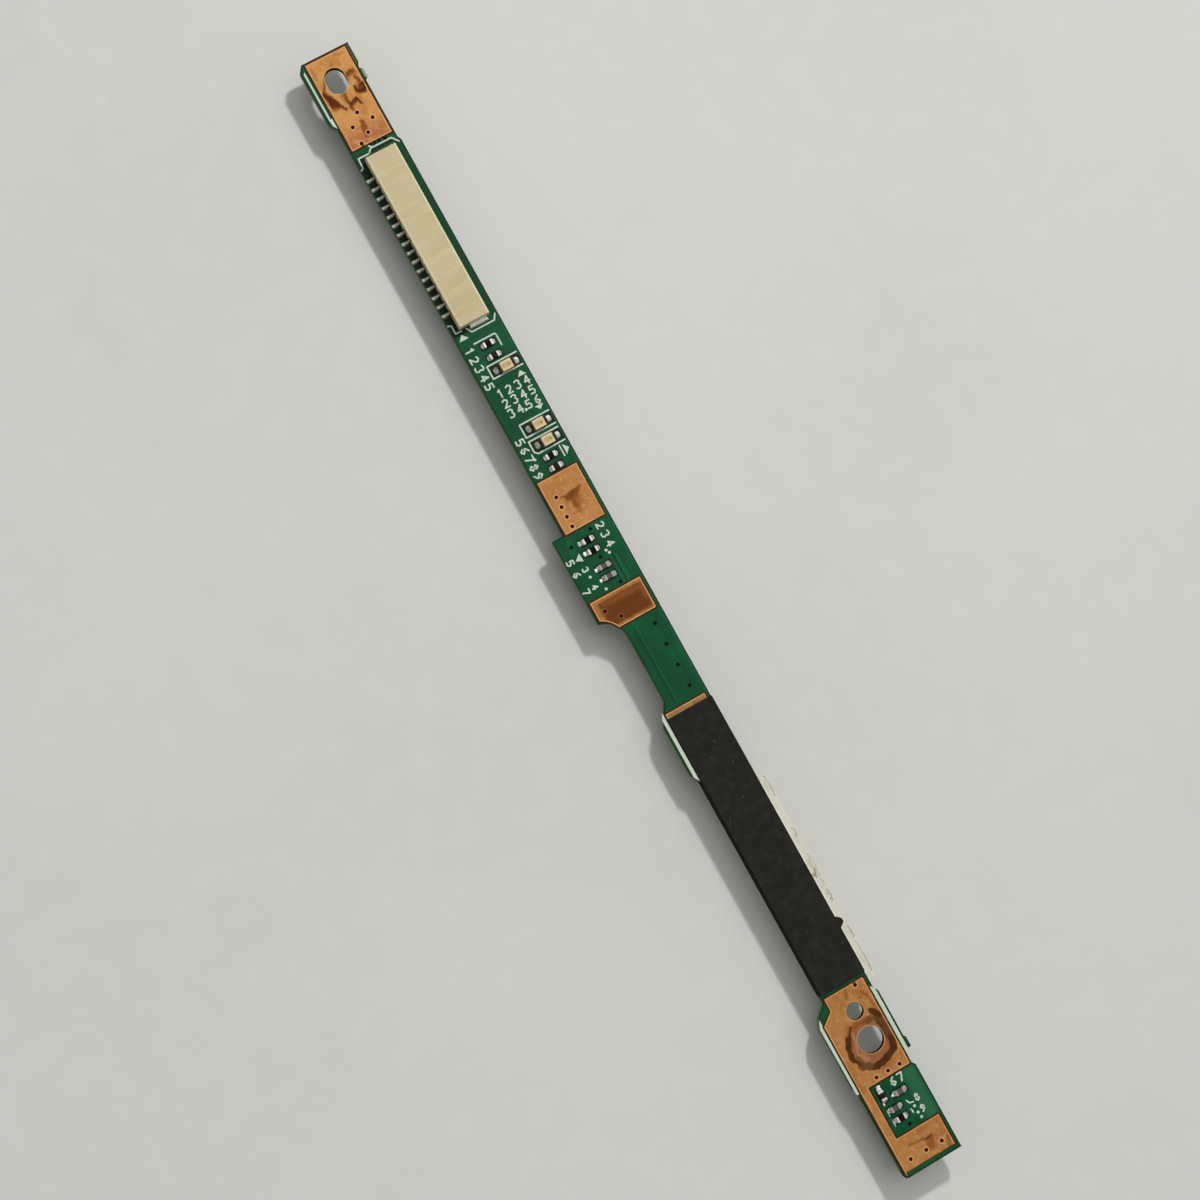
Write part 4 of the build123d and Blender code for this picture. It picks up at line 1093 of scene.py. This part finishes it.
# Glossy parts mirror an evenly lit table, and from below it can be seen through
mirrored = table.nodes.new("ShaderNodeEmission")
mirrored.inputs["Color"].default_value = rgb(170, 170, 166)
clear = table.nodes.new("ShaderNodeBsdfTransparent")
glossy_ray = table.nodes.new("ShaderNodeLightPath").outputs["Is Glossy Ray"]
from_below = table.nodes.new("ShaderNodeNewGeometry").outputs["Backfacing"]
shown = blend(table, glossy_ray, floor_finish.shader.outputs[0], mirrored.outputs[0])
shown = blend(table, from_below, shown, clear.outputs[0])
table.links.new(shown, table.nodes["Material Output"].inputs["Surface"])
floor_finish.material.cycles.emission_sampling = "NONE"
floor_mesh = bpy.data.meshes.new("table")
corners = [(x, y, FLOOR_LEVEL) for x, y in around(0, 0, FLOOR_HALF, FLOOR_HALF)]
floor_mesh.from_pydata(corners, [], [range(4)])
floor = bpy.data.objects.new("table", floor_mesh)
bpy.context.scene.collection.objects.link(floor)
floor_mesh.materials.append(floor_finish.material)
floor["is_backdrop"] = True

world = bpy.data.worlds.new("room")
bpy.context.scene.world = world
world.use_nodes = True
room = world.node_tree
room.nodes.clear()


def wall(color, strength):
    """A plain background."""
    node = room.nodes.new("ShaderNodeBackground")
    node.inputs["Color"].default_value = color
    node.inputs["Strength"].default_value = strength
    return node.outputs[0]


# What lights the board is dimmer than what is seen, mirrored or looked through to
rays = room.nodes.new("ShaderNodeLightPath").outputs
seen = rays["Is Camera Ray"]
for kind in ("Is Glossy Ray", "Is Transmission Ray"):
    either = room.nodes.new("ShaderNodeMath")
    either.operation = "MAXIMUM"
    room.links.new(seen, either.inputs[0])
    room.links.new(rays[kind], either.inputs[1])
    seen = either.outputs[0]
backdrop = blend(room, seen, wall((1.0, 0.995, 0.985, 1.0), 0.33), wall(rgb(214, 213, 209), 1.0))
room.links.new(backdrop, room.nodes.new("ShaderNodeOutputWorld").inputs["Surface"])

# ---- lamps and camera


def lamp(name, kind, energy, place, size):
    """A lamp at a place over the table, in metres, that shines at the middle of the board."""
    data = bpy.data.lights.new(name, kind)
    data.energy = energy
    data.color = (1.0, 0.99, 0.975)
    holder = bpy.data.objects.new(name, data)
    holder.location = place
    holder.rotation_mode = "QUATERNION"
    holder.rotation_quaternion = (-Vector(place)).to_track_quat("-Z", "Y")
    bpy.context.scene.collection.objects.link(holder)
    if kind == "SUN":
        data.angle = size
        return
    # Even light that still spreads, so that the shadow grows along the board
    data.shadow_soft_size = size
    data.use_nodes = True
    falloff = data.node_tree.nodes.new("ShaderNodeLightFalloff")
    falloff.inputs["Strength"].default_value = 1.0
    data.node_tree.links.new(falloff.outputs["Constant"], data.node_tree.nodes["Emission"].inputs["Strength"])


lamp("desk_lamp", "POINT", 20.9, (-0.1025, 0.1035, 0.19), 0.0095)
lamp("bright_ceiling", "SUN", 1.0, (-0.25, 0.4, 1.0), math.radians(60))

CAMERA_PLACE = Vector((-0.0006, -0.0317, 0.220))
CAMERA_TARGET = at(59.45, -2.55, TOP)
CAMERA_UP = Vector((-0.87398, 0.48073, 0.07113))
VIEW_ANGLE = 29.84
camera = bpy.data.cameras.new("camera")
camera.sensor_width = 36.0
camera.angle = math.radians(VIEW_ANGLE)
camera.clip_start, camera.clip_end = 0.01, 10.0
back = (CAMERA_PLACE - CAMERA_TARGET).normalized()
right = CAMERA_UP.cross(back).normalized()
camera_object = bpy.data.objects.new("camera", camera)
camera_object.location = CAMERA_PLACE
camera_object.rotation_mode = "QUATERNION"
camera_object.rotation_quaternion = Matrix((right, back.cross(right), back)).transposed().to_quaternion()
bpy.context.scene.collection.objects.link(camera_object)
bpy.context.scene.camera = camera_object
bpy.context.scene.view_settings.view_transform = "Standard"

low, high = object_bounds()
